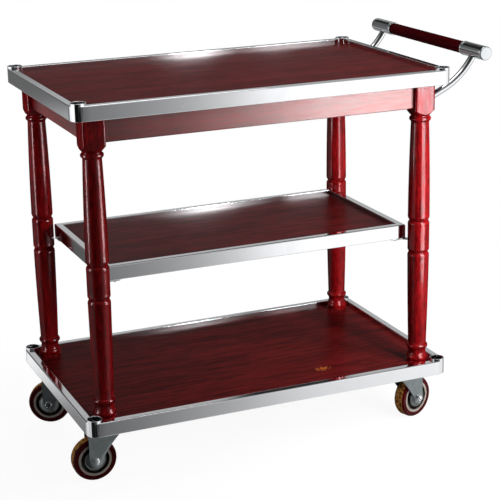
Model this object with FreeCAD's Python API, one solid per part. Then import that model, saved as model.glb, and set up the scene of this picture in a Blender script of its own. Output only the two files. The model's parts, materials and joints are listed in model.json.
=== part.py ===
"""Three-tier serving cart with turned wooden legs, chromed tray rails and swivel casters.

Lengths are in millimetres. The origin lies on the floor under the middle of the bounding box,
+X runs along the trays towards the push handle, +Y to the back and +Z up.
"""
import FreeCAD
import Part
import math
import os

Vector = FreeCAD.Vector

# Plan of the cart. Both outer trays have the same plan, and the middle shelf stands between the legs.
tray_length = 880.0
tray_width = 531.0
leg_inset = 53.0
shelf_corner_gap = 6.5

# Heights over the casters, which carry everything else. The legs' members below add the rest.
batten_thickness = 20.0
panel_thickness = 12.0
panel_recess = 8.0

# Folded rail section: a tall outer face, a flat top, an inner lip and a web under the panel.
rail_height = 32.5
rail_top_width = 16.5
rail_wall = 1.5
rail_return = 12.0
rail_nose_radius = 2.4
rail_lip_radius = 1.0
panel_step = 2.0
panel_clearance = 0.3

# Hollow corner cups of the two outer trays.
cup_radius = 17.5
cup_wall = 1.8
cup_proud = 0.3
cup_rise = 5.0
cup_floor = 2.0
cup_clearance = 0.25
cup_arm_reach = 52.0
cup_arm_thickness = 2.5
cup_arm_gap = 0.5

# Turned legs, from 50 mm square stock. Members are listed from the foot up.
stock_side = 50.0
stock_edge_radius = 5.0
foot_flange_height = 3.0
foot_flange_radius = 24.6
foot_bead_height = 15.0
foot_bead_radius = 24.9
foot_bead_neck = 22.0
foot_cove_height = 15.5
foot_cove_radius = 20.3
ring_height = 11.5
ring_radius = 24.8
ring_neck = 21.2
lower_shaft_height = 214.0
lower_shaft_foot_radius = 21.0
lower_shaft_swell = 0.5
groove_radius = 20.7
groove_lower_shoulder = 11.0
groove_band_shoulder = 10.0
groove_upper_shoulder = 13.0
band_height = 55.0
band_radius = 24.9
upper_shaft_height = 214.0
upper_shaft_top_radius = 20.7
upper_shaft_swell = 0.9
collar_height = 6.0
collar_radius = 21.3
bead_height = 11.0
bead_radius = 24.8
neck_height = 1.5
neck_radius = 20.6
shoulder_height = 15.5
shoulder_face_rise = 5.0
block_height = 71.0

# Aprons, tenoned into the leg blocks, and the glued corner blocks behind the legs.
apron_height = 68.0
apron_thickness = 20.0
apron_setback = 11.5
apron_edge_radius = 2.0
tenon_length = 15.0
tenon_thickness = 8.0
tenon_shoulder = 10.0
tenon_clearance = 0.15
corner_block_height = 34.0
corner_block_reach = 46.0
corner_block_face = 30.0
corner_block_web = 7.0
counterbore_clearance = 1.5

# Battens under the bottom panel, which take the casters and the leg bolts.
batten_width = 96.0
batten_end_gap = 20.0

# Steel brackets under the middle shelf's corners, with a tongue let into each leg.
shelf_seat_above_band = 18.0
bracket_thickness = 2.5
bracket_arm = 34.0
bracket_width = 13.0
tongue_width = 12.0
tongue_depth = 12.0
tongue_clearance = 0.2

# Fasteners: hex bolts into the legs, pan-head screws in sheet and panel.
bolt_radius = 4.0
bolt_length = 60.0
bolt_head_across = 13.0
bolt_head_height = 5.3
bolt_clearance = 0.2
screw_radius = 2.0
screw_length = 10.0
screw_head_radius = 4.0
screw_head_height = 2.6
screw_hole_clearance = 0.15
bracket_screw_along = 24.0
bracket_screw_in = 6.0

# Push handle on the +X end: a wooden grip in two chromed sleeves on curved tubes.
handle_offset = 87.0
handle_rise = 27.5
grip_radius = 14.0
grip_spigot_radius = 11.0
grip_spigot_length = 28.0
grip_spigot_clearance = 0.15
grip_shoulder_radius = 1.2
sleeve_length = 92.5
sleeve_inboard = 45.5
sleeve_radius = 15.9
sleeve_end_chamfer = 1.0
collar_ring_radius = 16.4
collar_ring_width = 6.5
collar_groove_radius = 14.9
collar_groove_width = 2.4
tube_radius = 8.0
tube_wall = 1.5
tube_top_angle = 30.0
tube_foot_angle = 25.0
tube_straight = 12.0
tube_seat_drop = 48.0
tube_leg_depth = 15.0
tube_sleeve_depth = 9.0
tube_clearance = 0.15

# Casters: a screwed plate, a stamped fork and a wheel on a spacer and bolt.
caster_inset_x = 65.5
caster_inset_y = 92.5
caster_trail = 31.0
wheel_radius = 50.0
tyre_half_width = 15.0
tyre_flat_half_width = 8.0
tyre_shoulder_drop = 2.6
tyre_edge_radius = 2.0
tyre_depth = 11.5
hub_rim_wall = 7.0
hub_rim_half_width = 14.0
hub_web_half_thickness = 3.0
hub_boss_radius = 16.5
guard_gap = 0.5
guard_radius = 24.0
guard_flat_radius = 15.5
guard_thickness = 1.5
guard_dish = 3.0
spacer_radius = 6.0
spacer_half_length = 17.3
running_clearance = 0.05
fork_thickness = 2.5
fork_bend_radius = 4.5
fork_crown_front = 24.0
fork_crown_gap = 7.3
fork_eye_radius = 14.0
fork_waist_back = 2.5
fork_waist_share = 0.47
plate_length = 95.0
plate_width = 67.0
plate_thickness = 3.0
plate_corner_radius = 8.0
plate_hole_spacing_x = 75.0
plate_hole_spacing_y = 45.0
race_radius = 24.0
race_top_radius = 19.0
race_height = 16.8
race_skirt_height = 5.0
race_gap = 0.4
kingpin_radius = 6.0
kingpin_head_radius = 9.5
kingpin_head_height = 2.8
kingpin_gap = 0.4
axle_nut_height = 6.5
axle_bolt_end = 3.0

# Headings of the four casters as they stand: the side of the swivel on which each wheel trails.
heading_angle_front_left = 177.0
heading_angle_back_left = 154.0
heading_angle_front_right = 19.5
heading_angle_back_right = 8.0

# One overrun serves every cut that has to pass a face.
overrun = 5.0

# Sizes that follow from the ones above.
tray_half_x = tray_length / 2
tray_half_y = tray_width / 2
cup_inset = cup_radius - cup_proud
stock_half = stock_side / 2
swivel_x = tray_half_x - caster_inset_x
swivel_y = tray_half_y - caster_inset_y
hub_radius = wheel_radius - tyre_depth
left_lean = math.radians(180 - heading_angle_front_left)
reach_left = (swivel_x + (caster_trail + wheel_radius) * math.cos(left_lean)
              + tyre_flat_half_width * math.sin(left_lean))
reach_right = tray_half_x + handle_offset + collar_ring_radius
cart_x = (reach_left - reach_right) / 2
leg_x = tray_half_x - leg_inset
leg_y = tray_half_y - leg_inset
shelf_half_x = leg_x - (band_radius + shelf_corner_gap) / math.sqrt(2)
shelf_half_y = leg_y - (band_radius + shelf_corner_gap) / math.sqrt(2)
lip_height = panel_recess + panel_step
web_top = rail_height - panel_recess - panel_thickness
fork_top_z = 2 * wheel_radius + fork_crown_gap + fork_thickness
caster_height = fork_top_z + race_gap + race_height + plate_thickness
foot_z = caster_height + batten_thickness + panel_thickness
groove_low_z = (foot_z + foot_flange_height + foot_bead_height + foot_cove_height + ring_height
                + lower_shaft_height + groove_lower_shoulder)
band_low_z = groove_low_z + groove_band_shoulder
band_high_z = band_low_z + band_height
groove_high_z = band_high_z + groove_band_shoulder
shaft_top_z = groove_high_z + groove_upper_shoulder + upper_shaft_height
bead_low_z = shaft_top_z + collar_height
neck_z = bead_low_z + bead_height + neck_height
leg_top_z = neck_z + shoulder_height + block_height
shelf_rail_z = band_low_z + shelf_seat_above_band
bottom_rail_z = foot_z + panel_recess - rail_height
top_rail_z = leg_top_z + panel_thickness + panel_recess - rail_height
grip_x = tray_half_x + handle_offset
grip_z = top_rail_z + rail_height + handle_rise
grip_half_length = leg_y - sleeve_inboard
fork_inner = spacer_half_length + guard_thickness
fork_outer = fork_inner + fork_thickness
apron_face = stock_half - apron_setback

SIDES = {"left": -1, "right": 1}
DEPTHS = {"front": -1, "back": 1}
CORNERS = {f"{d}_{s}": (sx, sy) for d, sy in DEPTHS.items() for s, sx in SIDES.items()}
HEADINGS = {"front_left": math.radians(heading_angle_front_left),
            "back_left": math.radians(heading_angle_back_left),
            "front_right": math.radians(heading_angle_front_right),
            "back_right": math.radians(heading_angle_back_right)}


def box(low, high):
    """Box between two opposite corners."""
    size = [high[i] - low[i] for i in range(3)]
    return Part.makeBox(*size, Vector(*low))


def cylinder(radius, length, base, direction=(0, 0, 1)):
    """Cylinder from its base point along a direction."""
    return Part.makeCylinder(radius, length, Vector(*base), Vector(*direction))


def prism(outline, thickness, z):
    """Upright prism over a closed plan outline of (x, y) points."""
    points = [Vector(x, y, z) for x, y in outline]
    face = Part.Face(Part.makePolygon(points + points[:1]))
    return face.extrude(Vector(0, 0, thickness))


def rounded_plate(half_x, half_y, radius, thickness, z):
    """Flat plate with rounded corners, centred on the origin in plan."""
    plate = box((-half_x, -half_y, z), (half_x, half_y, z + thickness))
    return plate.makeFillet(radius, upright_edges(plate))


def upright_edges(shape):
    """Straight edges of a shape that run along Z."""
    found = []
    for edge in shape.Edges:
        ends = [v.Point for v in edge.Vertexes]
        if len(ends) == 2 and math.hypot(ends[0].x - ends[1].x, ends[0].y - ends[1].y) < overrun / 1000:
            found.append(edge)
    return found


def hexagon_bar(across, height, base, direction):
    """Hexagonal head or nut standing on a base point."""
    corner = across / math.sqrt(3)
    points = []
    for i in range(6):
        angle = math.radians(60 * i)
        points.append(Vector(corner * math.cos(angle), corner * math.sin(angle), 0))
    bar = Part.Face(Part.makePolygon(points + points[:1])).extrude(Vector(0, 0, height))
    turn = FreeCAD.Rotation(Vector(0, 0, 1), Vector(*direction))
    bar.Placement = FreeCAD.Placement(Vector(*base), turn)
    return bar


def largest(shape):
    """Largest solid of a shape, without the chips that a corner cut leaves."""
    return max(shape.Solids, key=lambda solid: solid.Volume)


class Profile:
    """Chain of straight and curved edges in one plane, drawn point by point as (radius, height)."""

    def __init__(self, radius, height, plane=None):
        self.plane = plane or (lambda r, h: Vector(r, 0, h))
        self.start = (radius, height)
        self.at = (radius, height)
        self.edges = []

    def line(self, radius, height):
        """Straight edge to a point."""
        self.edges.append(Part.makeLine(self.plane(*self.at), self.plane(radius, height)))
        self.at = (radius, height)
        return self

    def arc(self, through, radius, height):
        """Circular edge through one point to another."""
        curve = Part.Arc(self.plane(*self.at), self.plane(*through), self.plane(radius, height))
        self.edges.append(curve.toShape())
        self.at = (radius, height)
        return self

    def face(self):
        """Closed face of the chain."""
        if math.dist(self.at, self.start) > overrun / 1000:
            self.line(*self.start)
        return Part.Face(Part.Wire(self.edges))

    def turned(self, centre=(0, 0, 0), axis=(0, 0, 1)):
        """Solid of revolution of the closed chain."""
        return self.face().revolve(Vector(*centre), Vector(*axis), 360)


def bulge(start, end, outward):
    """Point beside the middle of a chord, for a flat arc with the given swell in radius."""
    return ((start[0] + end[0]) / 2 + outward, (start[1] + end[1]) / 2)


def rail_section():
    """Face of the folded rail in local u (inward from the outer face) and w (up from the bottom)."""
    wall = rail_wall
    nose = rail_nose_radius
    lip = rail_lip_radius
    corner_share = 1 - math.sqrt(0.5)
    chain = Profile(0, 0, lambda u, w: Vector(0, u, w))
    chain.line(0, rail_height - nose)
    chain.arc((nose * corner_share, rail_height - nose * corner_share), nose, rail_height)
    chain.line(rail_top_width - lip, rail_height)
    chain.arc((rail_top_width - lip * corner_share, rail_height - lip * corner_share),
              rail_top_width, rail_height - lip)
    chain.line(rail_top_width, rail_height - lip_height)
    chain.line(rail_top_width - wall, rail_height - lip_height)
    chain.line(rail_top_width - wall, rail_height - nose)
    chain.line(wall, rail_height - nose)
    chain.line(wall, web_top)
    chain.line(rail_top_width, web_top)
    chain.line(rail_top_width, web_top - wall)
    chain.line(wall, web_top - wall)
    chain.line(wall, wall)
    chain.line(rail_return, wall)
    chain.line(rail_return, 0)
    return chain.face()


def straight_rail(half_length, half_across, z, along_x, side):
    """Rail over the full length of one side of a tray, before its ends are shaped."""
    bar = rail_section().extrude(Vector(2 * half_length, 0, 0))
    bar.translate(Vector(-half_length, -half_across, z))
    turns = {(True, -1): 0, (False, 1): 90, (True, 1): 180, (False, -1): 270}
    bar.rotate(Vector(0, 0, 0), Vector(0, 0, 1), turns[(along_x, side)])
    bar.translate(Vector(cart_x, 0, 0))
    return bar


def cup_centres(z):
    """Axis points of the four corner cups at one height."""
    for sx, sy in CORNERS.values():
        yield Vector(cart_x + sx * (tray_half_x - cup_inset), sy * (tray_half_y - cup_inset), z)


def cup_rails(z):
    """Four rails of an outer tray, by side, cut to seat against the corner cups."""
    bores = [cylinder(cup_radius + cup_clearance, rail_height + 2 * overrun, c - Vector(0, 0, overrun))
             for c in cup_centres(z)]
    cutter = Part.makeCompound(bores)
    rails = {}
    for name, side in DEPTHS.items():
        rails[name] = straight_rail(tray_half_x - cup_inset, tray_half_y, z, True, side).cut(cutter)
    for name, side in SIDES.items():
        rails[name] = straight_rail(tray_half_y - cup_inset, tray_half_x, z, False, side).cut(cutter)
    return {name: rail.Solids[0] for name, rail in rails.items()}


def mitred_rails(half_x, half_y, z):
    """Four rails of the middle shelf, by side, meeting at square mitred corners."""
    rails = {}
    for along_x, sides in ((True, DEPTHS), (False, SIDES)):
        half_length, half_across = (half_x, half_y) if along_x else (half_y, half_x)
        inner = rail_top_width + overrun
        for name, side in sides.items():
            outline = [(-half_length, 0), (half_length, 0), (half_length - inner, inner), (inner - half_length, inner)]
            keep = prism(outline, rail_height + 2 * overrun, z - overrun)
            keep.translate(Vector(0, -half_across, 0))
            keep.rotate(Vector(0, 0, 0), Vector(0, 0, 1),
                        {(True, -1): 0, (False, 1): 90, (True, 1): 180, (False, -1): 270}[(along_x, side)])
            keep.translate(Vector(cart_x, 0, 0))
            rails[name] = straight_rail(half_length, half_across, z, along_x, side).common(keep).Solids[0]
    return rails


def stepped_panel(half_x, half_y, top_z, cups):
    """Panel whose thinner edge runs in the rails' groove while its face fills the space inside the lips."""
    edge = rail_wall + panel_clearance
    face_edge = rail_top_width + panel_clearance
    lower = box((cart_x - half_x + edge, edge - half_y, top_z - panel_thickness),
                (cart_x + half_x - edge, half_y - edge, top_z - panel_step))
    upper = box((cart_x - half_x + face_edge, face_edge - half_y, top_z - panel_thickness),
                (cart_x + half_x - face_edge, half_y - face_edge, top_z))
    panel = lower.fuse(upper).removeSplitter()
    if cups:
        bores = [cylinder(cup_radius + cup_clearance, panel_thickness + 2 * overrun,
                          c - Vector(0, 0, panel_thickness + overrun)) for c in cup_centres(top_z)]
        panel = largest(panel.cut(Part.makeCompound(bores)))
    return panel


def corner_cups(rail_z):
    """Four open corner cups, each with two arms that plug into the rails."""
    cups = []
    height = rail_height + cup_rise
    arm_low = rail_wall + cup_arm_gap
    arm_high = web_top - rail_wall - cup_arm_gap
    for (sx, sy), centre in zip(CORNERS.values(), cup_centres(rail_z)):
        body = cylinder(cup_radius, height, centre)
        for along_x in (True, False):
            near = rail_wall - cup_inset
            low = [0, near] if along_x else [near, 0]
            high = [cup_arm_reach - cup_inset, near + cup_arm_thickness]
            high = high if along_x else high[::-1]
            xs = sorted((centre.x - sx * low[0], centre.x - sx * high[0]))
            ys = sorted((centre.y - sy * low[1], centre.y - sy * high[1]))
            arm = box((xs[0], ys[0], rail_z + arm_low), (xs[1], ys[1], rail_z + arm_high))
            body = body.fuse(arm)
        bore = cylinder(cup_radius - cup_wall, height, centre + Vector(0, 0, cup_floor))
        cups.append(body.cut(bore).removeSplitter())
    return cups


def turned_part():
    """Turned length of a leg, from the foot to the neck under the block, on the Z axis."""
    z = foot_z
    chain = Profile(0, z).line(foot_flange_radius, z)
    z += foot_flange_height
    chain.line(foot_flange_radius, z).line(foot_bead_neck, z)
    z += foot_bead_height
    chain.arc((foot_bead_radius, z - foot_bead_height / 2), foot_bead_neck, z)
    z += foot_cove_height
    chain.arc((foot_cove_radius, z - foot_cove_height / 2), ring_neck, z)
    z += ring_height
    chain.arc((ring_radius, z - ring_height / 2), ring_neck, z)
    chain.line(lower_shaft_foot_radius, z)
    foot = (lower_shaft_foot_radius, z)
    z += lower_shaft_height
    chain.arc(bulge(foot, (band_radius, z), lower_shaft_swell), band_radius, z)
    for shoulder, rising in ((groove_lower_shoulder, False), (groove_band_shoulder, True)):
        z = shoulder_arc(chain, z, shoulder, rising)
    z += band_height
    chain.line(band_radius, z)
    for shoulder, rising in ((groove_band_shoulder, False), (groove_upper_shoulder, True)):
        z = shoulder_arc(chain, z, shoulder, rising)
    shaft = (band_radius, z)
    z += upper_shaft_height
    chain.arc(bulge(shaft, (upper_shaft_top_radius, z), upper_shaft_swell), upper_shaft_top_radius, z)
    z += collar_height
    chain.arc((upper_shaft_top_radius, z - collar_height / 2), collar_radius, z)
    z += bead_height
    chain.arc((bead_radius, z - bead_height / 2), neck_radius, z)
    chain.line(neck_radius, neck_z).line(0, neck_z)
    return chain.turned()


def shoulder_arc(chain, z, height, rising):
    """Rounded side of a V groove, from the shaft into the groove or out of it. Returns the new height."""
    round_share = 0.62
    mid_radius = groove_radius + (band_radius - groove_radius) * math.sqrt(round_share)
    if rising:
        chain.arc((mid_radius, z + height * (1 - round_share)), band_radius, z + height)
    else:
        chain.arc((mid_radius, z + height * round_share), groove_radius, z + height)
    return z + height


def leg_block():
    """Square head of a leg, whose lower end is rounded off on the lathe."""
    stock = box((-stock_half, -stock_half, neck_z), (stock_half, stock_half, leg_top_z))
    stock = stock.makeFillet(stock_edge_radius, upright_edges(stock))
    corner = stock_half * math.sqrt(2)
    chain = Profile(0, neck_z).line(neck_radius, neck_z)
    chain.arc((stock_half, neck_z + shoulder_face_rise), corner, neck_z + shoulder_height)
    chain.line(corner, leg_top_z).line(0, leg_top_z)
    return stock.common(chain.turned())


def legs():
    """Four legs with their mortises, bracket slots, bolt holes and, at the handle, tube bores."""
    blank = turned_part().fuse(leg_block()).removeSplitter()
    made = {}
    for name, (sx, sy) in CORNERS.items():
        leg = blank.copy()
        leg.translate(Vector(cart_x + sx * leg_x, sy * leg_y, 0))
        cuts = [grown_tenon(sx, sy, True), grown_tenon(sx, sy, False), tongue(sx, sy, tongue_clearance),
                leg_bolt_hole(*foot_bolt_place(sx, sy)), leg_bolt_hole(*block_bolt_place(sx, sy))]
        if sx > 0:
            cuts.append(handle_tube_body(sy, tube_radius + tube_clearance))
        made[name] = leg.cut(Part.makeCompound(cuts)).Solids[0]
    return made


def tenon(sx, sy, along_x, grow=0.0):
    """Tenon at one end of an apron, inside the leg block of the given corner."""
    z0 = leg_top_z - apron_height + tenon_shoulder - grow
    z1 = leg_top_z - tenon_shoulder + grow
    near = stock_half
    far = stock_half - tenon_length - grow
    side = apron_face - apron_thickness / 2
    across = (side - tenon_thickness / 2 - grow, side + tenon_thickness / 2 + grow)
    if along_x:
        xs = sorted((cart_x + sx * (leg_x - near), cart_x + sx * (leg_x - far)))
        ys = sorted((sy * (leg_y + across[0]), sy * (leg_y + across[1])))
    else:
        xs = sorted((cart_x + sx * (leg_x + across[0]), cart_x + sx * (leg_x + across[1])))
        ys = sorted((sy * (leg_y - near), sy * (leg_y - far)))
    return box((xs[0], ys[0], z0), (xs[1], ys[1], z1))


def grown_tenon(sx, sy, along_x):
    """Mortise for a tenon, with its clearance."""
    return tenon(sx, sy, along_x, tenon_clearance)


def aprons():
    """Four aprons under the top tray, tenoned between the leg blocks."""
    made = {}
    low = leg_top_z - apron_height
    for name, sy in DEPTHS.items():
        ys = sorted((sy * (leg_y + apron_face), sy * (leg_y + apron_face - apron_thickness)))
        half = leg_x - stock_half
        board = box((cart_x - half, ys[0], low), (cart_x + half, ys[1], leg_top_z))
        board = soften_lower_edges(board, low)
        made[name] = board.multiFuse([tenon(sx, sy, True) for sx in SIDES.values()])
    for name, sx in SIDES.items():
        xs = sorted((cart_x + sx * (leg_x + apron_face), cart_x + sx * (leg_x + apron_face - apron_thickness)))
        half = leg_y - stock_half
        board = box((xs[0], -half, low), (xs[1], half, leg_top_z))
        board = soften_lower_edges(board, low)
        made[name] = board.multiFuse([tenon(sx, sy, False) for sy in DEPTHS.values()])
    return {name: board.removeSplitter() for name, board in made.items()}


def soften_lower_edges(board, low):
    """Round the two long lower edges of an apron."""
    edges = []
    for edge in board.Edges:
        a, b = (v.Point for v in edge.Vertexes)
        flat = abs(a.z - low) + abs(b.z - low) < overrun / 1000
        if flat and edge.Length > 2 * apron_thickness:
            edges.append(edge)
    return board.makeFillet(apron_edge_radius, edges)


def inner_corner(sx, sy):
    """Plan point where the inner faces of two aprons would meet behind a leg."""
    inward = apron_face - apron_thickness
    return cart_x + sx * (leg_x + inward), sy * (leg_y + inward)


def corner_blocks():
    """Glued blocks across the corners, bored for the leg bolt and for the screw into the top panel."""
    blocks = []
    z = leg_top_z - corner_block_height
    for sx, sy in CORNERS.values():
        cx, cy = inner_corner(sx, sy)
        clear = stock_half + (apron_face - apron_thickness)
        outline = [(clear, 0), (corner_block_reach + corner_block_face, 0),
                   (0, corner_block_reach + corner_block_face), (0, clear), (clear, clear)]
        points = [(cx - sx * a, cy - sy * b) for a, b in outline]
        block = prism(points, corner_block_height, z)
        sxp, syp = block_screw_place(sx, sy)
        head = screw_head_radius + counterbore_clearance
        cuts = [leg_bolt_hole(*block_bolt_place(sx, sy)),
                cylinder(head, corner_block_height - corner_block_web, (sxp, syp, z)),
                cylinder(screw_radius + screw_hole_clearance, corner_block_height, (sxp, syp, z))]
        blocks.append(block.cut(Part.makeCompound(cuts)).Solids[0])
    return blocks


def block_screw_place(sx, sy):
    """Plan point of the screw that holds the top panel to a corner block."""
    cx, cy = inner_corner(sx, sy)
    return cx - sx * (corner_block_reach + corner_block_face - 2 * screw_head_radius - corner_block_face / 2), \
        cy - sy * (corner_block_face / 3)


def foot_bolt_place(sx, sy):
    """Seat point of the bolt head under a foot, and the bolt's direction."""
    seat = Vector(cart_x + sx * leg_x, sy * leg_y, caster_height + bolt_head_height + counterbore_clearance)
    return seat, Vector(0, 0, 1)


def block_bolt_place(sx, sy):
    """Seat point of the bolt head on a corner block's long face, and the bolt's direction."""
    cx, cy = inner_corner(sx, sy)
    reach = (corner_block_reach + corner_block_face) / 2
    seat = Vector(cx - sx * reach, cy - sy * reach, leg_top_z - corner_block_height / 2)
    return seat, Vector(sx, sy, 0).normalize()


def leg_bolt_hole(seat, direction):
    """Clearance hole for a leg bolt."""
    return cylinder(bolt_radius + bolt_clearance, bolt_length + bolt_clearance, seat, direction)


def leg_bolt(seat, direction):
    """Hex-head bolt whose head bears on its seat."""
    shank = cylinder(bolt_radius, bolt_length, seat, direction)
    head = hexagon_bar(bolt_head_across, bolt_head_height, seat, -direction)
    return shank.fuse(head).removeSplitter()


def screw(seat, direction):
    """Pan-head screw whose head bears on its seat."""
    plane = lambda r, h: Vector(r, 0, h)
    chain = Profile(0, screw_length, plane).line(screw_radius, screw_length - screw_radius)
    chain.line(screw_radius, 0).line(screw_head_radius, 0)
    chain.line(screw_head_radius, -screw_head_height / 2)
    chain.line(screw_head_radius - screw_head_height / 2, -screw_head_height).line(0, -screw_head_height)
    solid = chain.turned()
    turn = FreeCAD.Rotation(Vector(0, 0, 1), Vector(*direction))
    solid.Placement = FreeCAD.Placement(Vector(*seat), turn)
    return solid


def battens():
    """Cross battens under the bottom panel, bored for the leg bolts and the caster screws."""
    made = {}
    half_y = tray_half_y - rail_top_width - batten_end_gap
    head = bolt_head_across / math.sqrt(3) + counterbore_clearance
    for name, sx in SIDES.items():
        middle = cart_x + sx * swivel_x
        board = box((middle - batten_width / 2, -half_y, caster_height),
                    (middle + batten_width / 2, half_y, caster_height + batten_thickness))
        cuts = []
        for sy in DEPTHS.values():
            seat, up = foot_bolt_place(sx, sy)
            cuts.append(cylinder(head, seat.z - caster_height, (seat.x, seat.y, caster_height)))
            cuts.append(leg_bolt_hole(seat, up))
            for x, y in plate_hole_places(sx, sy):
                cuts.append(cylinder(screw_radius + screw_hole_clearance, screw_length,
                                     (x, y, caster_height - plate_thickness)))
        made[name] = board.cut(Part.makeCompound(cuts)).Solids[0]
    return made


def tongue(sx, sy, grow=0.0):
    """Bracket tongue along the diagonal from the shelf corner into the leg."""
    half = tongue_width / 2 + grow
    near = band_radius - tongue_depth - grow
    far = band_radius + shelf_corner_gap + bracket_width
    bar = box((near, -half, shelf_rail_z - bracket_thickness - grow), (far, half, shelf_rail_z + grow))
    inward = math.degrees(math.atan2(-sy, -sx))
    bar.rotate(Vector(0, 0, 0), Vector(0, 0, 1), inward)
    bar.translate(Vector(cart_x + sx * leg_x, sy * leg_y, 0))
    return bar


def bracket_screw_places(sx, sy):
    """Plan points of the two screws of one shelf bracket, one in each rail."""
    along, across = bracket_screw_along, bracket_screw_in
    for a, b in ((along, across), (across, along)):
        yield cart_x + sx * (shelf_half_x - a), sy * (shelf_half_y - b)


def shelf_brackets():
    """Gusset plates under the shelf corners, each with its tongue."""
    plates = []
    z = shelf_rail_z - bracket_thickness
    for sx, sy in CORNERS.values():
        arm, wide = bracket_arm, bracket_width
        outline = [(0, 0), (arm, 0), (arm, wide), (wide, arm), (0, arm)]
        points = [(cart_x + sx * (shelf_half_x - a), sy * (shelf_half_y - b)) for a, b in outline]
        plate = prism(points, bracket_thickness, z).fuse(tongue(sx, sy)).removeSplitter()
        holes = [cylinder(screw_radius + screw_hole_clearance, 2 * overrun, (x, y, z - overrun))
                 for x, y in bracket_screw_places(sx, sy)]
        plates.append(plate.cut(Part.makeCompound(holes)).Solids[0])
    return plates


def plate_hole_places(sx, sy):
    """Plan points of the four screws of one caster plate."""
    for a in (-1, 1):
        for b in (-1, 1):
            yield (cart_x + sx * swivel_x + a * plate_hole_spacing_x / 2,
                   sy * swivel_y + b * plate_hole_spacing_y / 2)


def screws():
    """Every pan-head screw: shelf brackets, caster plates and corner blocks."""
    made = []
    up = (0, 0, 1)
    for sx, sy in CORNERS.values():
        for x, y in bracket_screw_places(sx, sy):
            made.append(screw((x, y, shelf_rail_z - bracket_thickness), up))
        for x, y in plate_hole_places(sx, sy):
            made.append(screw((x, y, caster_height - plate_thickness), up))
        x, y = block_screw_place(sx, sy)
        made.append(screw((x, y, leg_top_z - corner_block_web), up))
    return made


def drilled(panel, places, radius, z, depth):
    """Panel with upright holes at the given plan points."""
    holes = [cylinder(radius, depth, (x, y, z)) for x, y in places]
    return largest(panel.cut(Part.makeCompound(holes)))


def handle_tube_path(sy):
    """Centre line of a handle tube, from inside the sleeve to inside the leg, in its upright plane."""
    top = math.radians(tube_top_angle)
    foot = math.radians(tube_foot_angle)
    down = Vector(-math.sin(top), 0, -math.cos(top))
    inward = Vector(-math.cos(foot), 0, -math.sin(foot))
    head = Vector(cart_x + grip_x, sy * leg_y, grip_z)
    seat = Vector(cart_x + leg_x + stock_half, sy * leg_y, leg_top_z - tube_seat_drop)
    gap = seat - head
    cross = down.x * inward.z - down.z * inward.x
    run = (gap.x * inward.z - gap.z * inward.x) / cross
    knee = head + down * run
    turn = math.pi / 2 - top - foot
    tangent = min(run, (seat - knee).Length) - tube_straight
    bend_radius = tangent / math.tan(turn / 2)
    bend_start = knee - down * tangent
    bend_end = knee + inward * tangent
    inner = (inward - down).normalize()
    bend_middle = knee + inner * (bend_radius / math.cos(turn / 2) - bend_radius)
    start = head + down * (sleeve_radius - tube_sleeve_depth)
    end = seat + inward * tube_leg_depth
    edges = [Part.makeLine(start, bend_start), Part.Arc(bend_start, bend_middle, bend_end).toShape(),
             Part.makeLine(bend_end, end)]
    return Part.Wire(edges), start, down


def handle_tube_body(sy, radius):
    """Round bar along a handle tube's centre line."""
    path, start, direction = handle_tube_path(sy)
    ring = Part.Wire(Part.makeCircle(radius, start, direction))
    return path.makePipeShell([ring], True, True)


def handle_tubes():
    """Two hollow curved tubes."""
    made = {}
    for name, sy in DEPTHS.items():
        outer = handle_tube_body(sy, tube_radius)
        made[name] = outer.cut(handle_tube_body(sy, tube_radius - tube_wall)).Solids[0]
    return made


def handle_sleeves():
    """Chromed end sleeves with a collar ring, bored for the grip's spigot and for the tube."""
    made = {}
    for name, sy in DEPTHS.items():
        plane = lambda r, h, sy=sy: Vector(cart_x + grip_x + r, sy * h, grip_z)
        inner = grip_half_length
        groove = inner + collar_ring_width
        barrel = groove + collar_groove_width
        end = inner + sleeve_length
        bore = grip_spigot_radius + grip_spigot_clearance
        chain = Profile(bore, inner, plane).line(collar_ring_radius, inner)
        chain.line(collar_ring_radius, groove).line(collar_groove_radius, groove)
        chain.line(collar_groove_radius, barrel).line(sleeve_radius, barrel)
        chain.line(sleeve_radius, end - sleeve_end_chamfer).line(sleeve_radius - sleeve_end_chamfer, end)
        depth = inner + grip_spigot_length + grip_spigot_clearance
        chain.line(0, end).line(0, depth).line(bore, depth)
        sleeve = chain.turned((cart_x + grip_x, 0, grip_z), (0, 1, 0))
        made[name] = sleeve.cut(handle_tube_body(sy, tube_radius + tube_clearance)).Solids[0]
    return made


def handle_grip():
    """Wooden grip with a reduced spigot at each end."""
    plane = lambda r, h: Vector(cart_x + grip_x + r, h, grip_z)
    half = grip_half_length
    tip = half + grip_spigot_length
    soft = grip_shoulder_radius
    chain = Profile(0, -tip, plane).line(grip_spigot_radius, -tip).line(grip_spigot_radius, -half)
    chain.line(grip_radius - soft, -half).line(grip_radius, soft - half)
    chain.line(grip_radius, half - soft).line(grip_radius - soft, half)
    chain.line(grip_spigot_radius, half).line(grip_spigot_radius, tip).line(0, tip)
    return chain.turned((cart_x + grip_x, 0, grip_z), (0, 1, 0))


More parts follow.
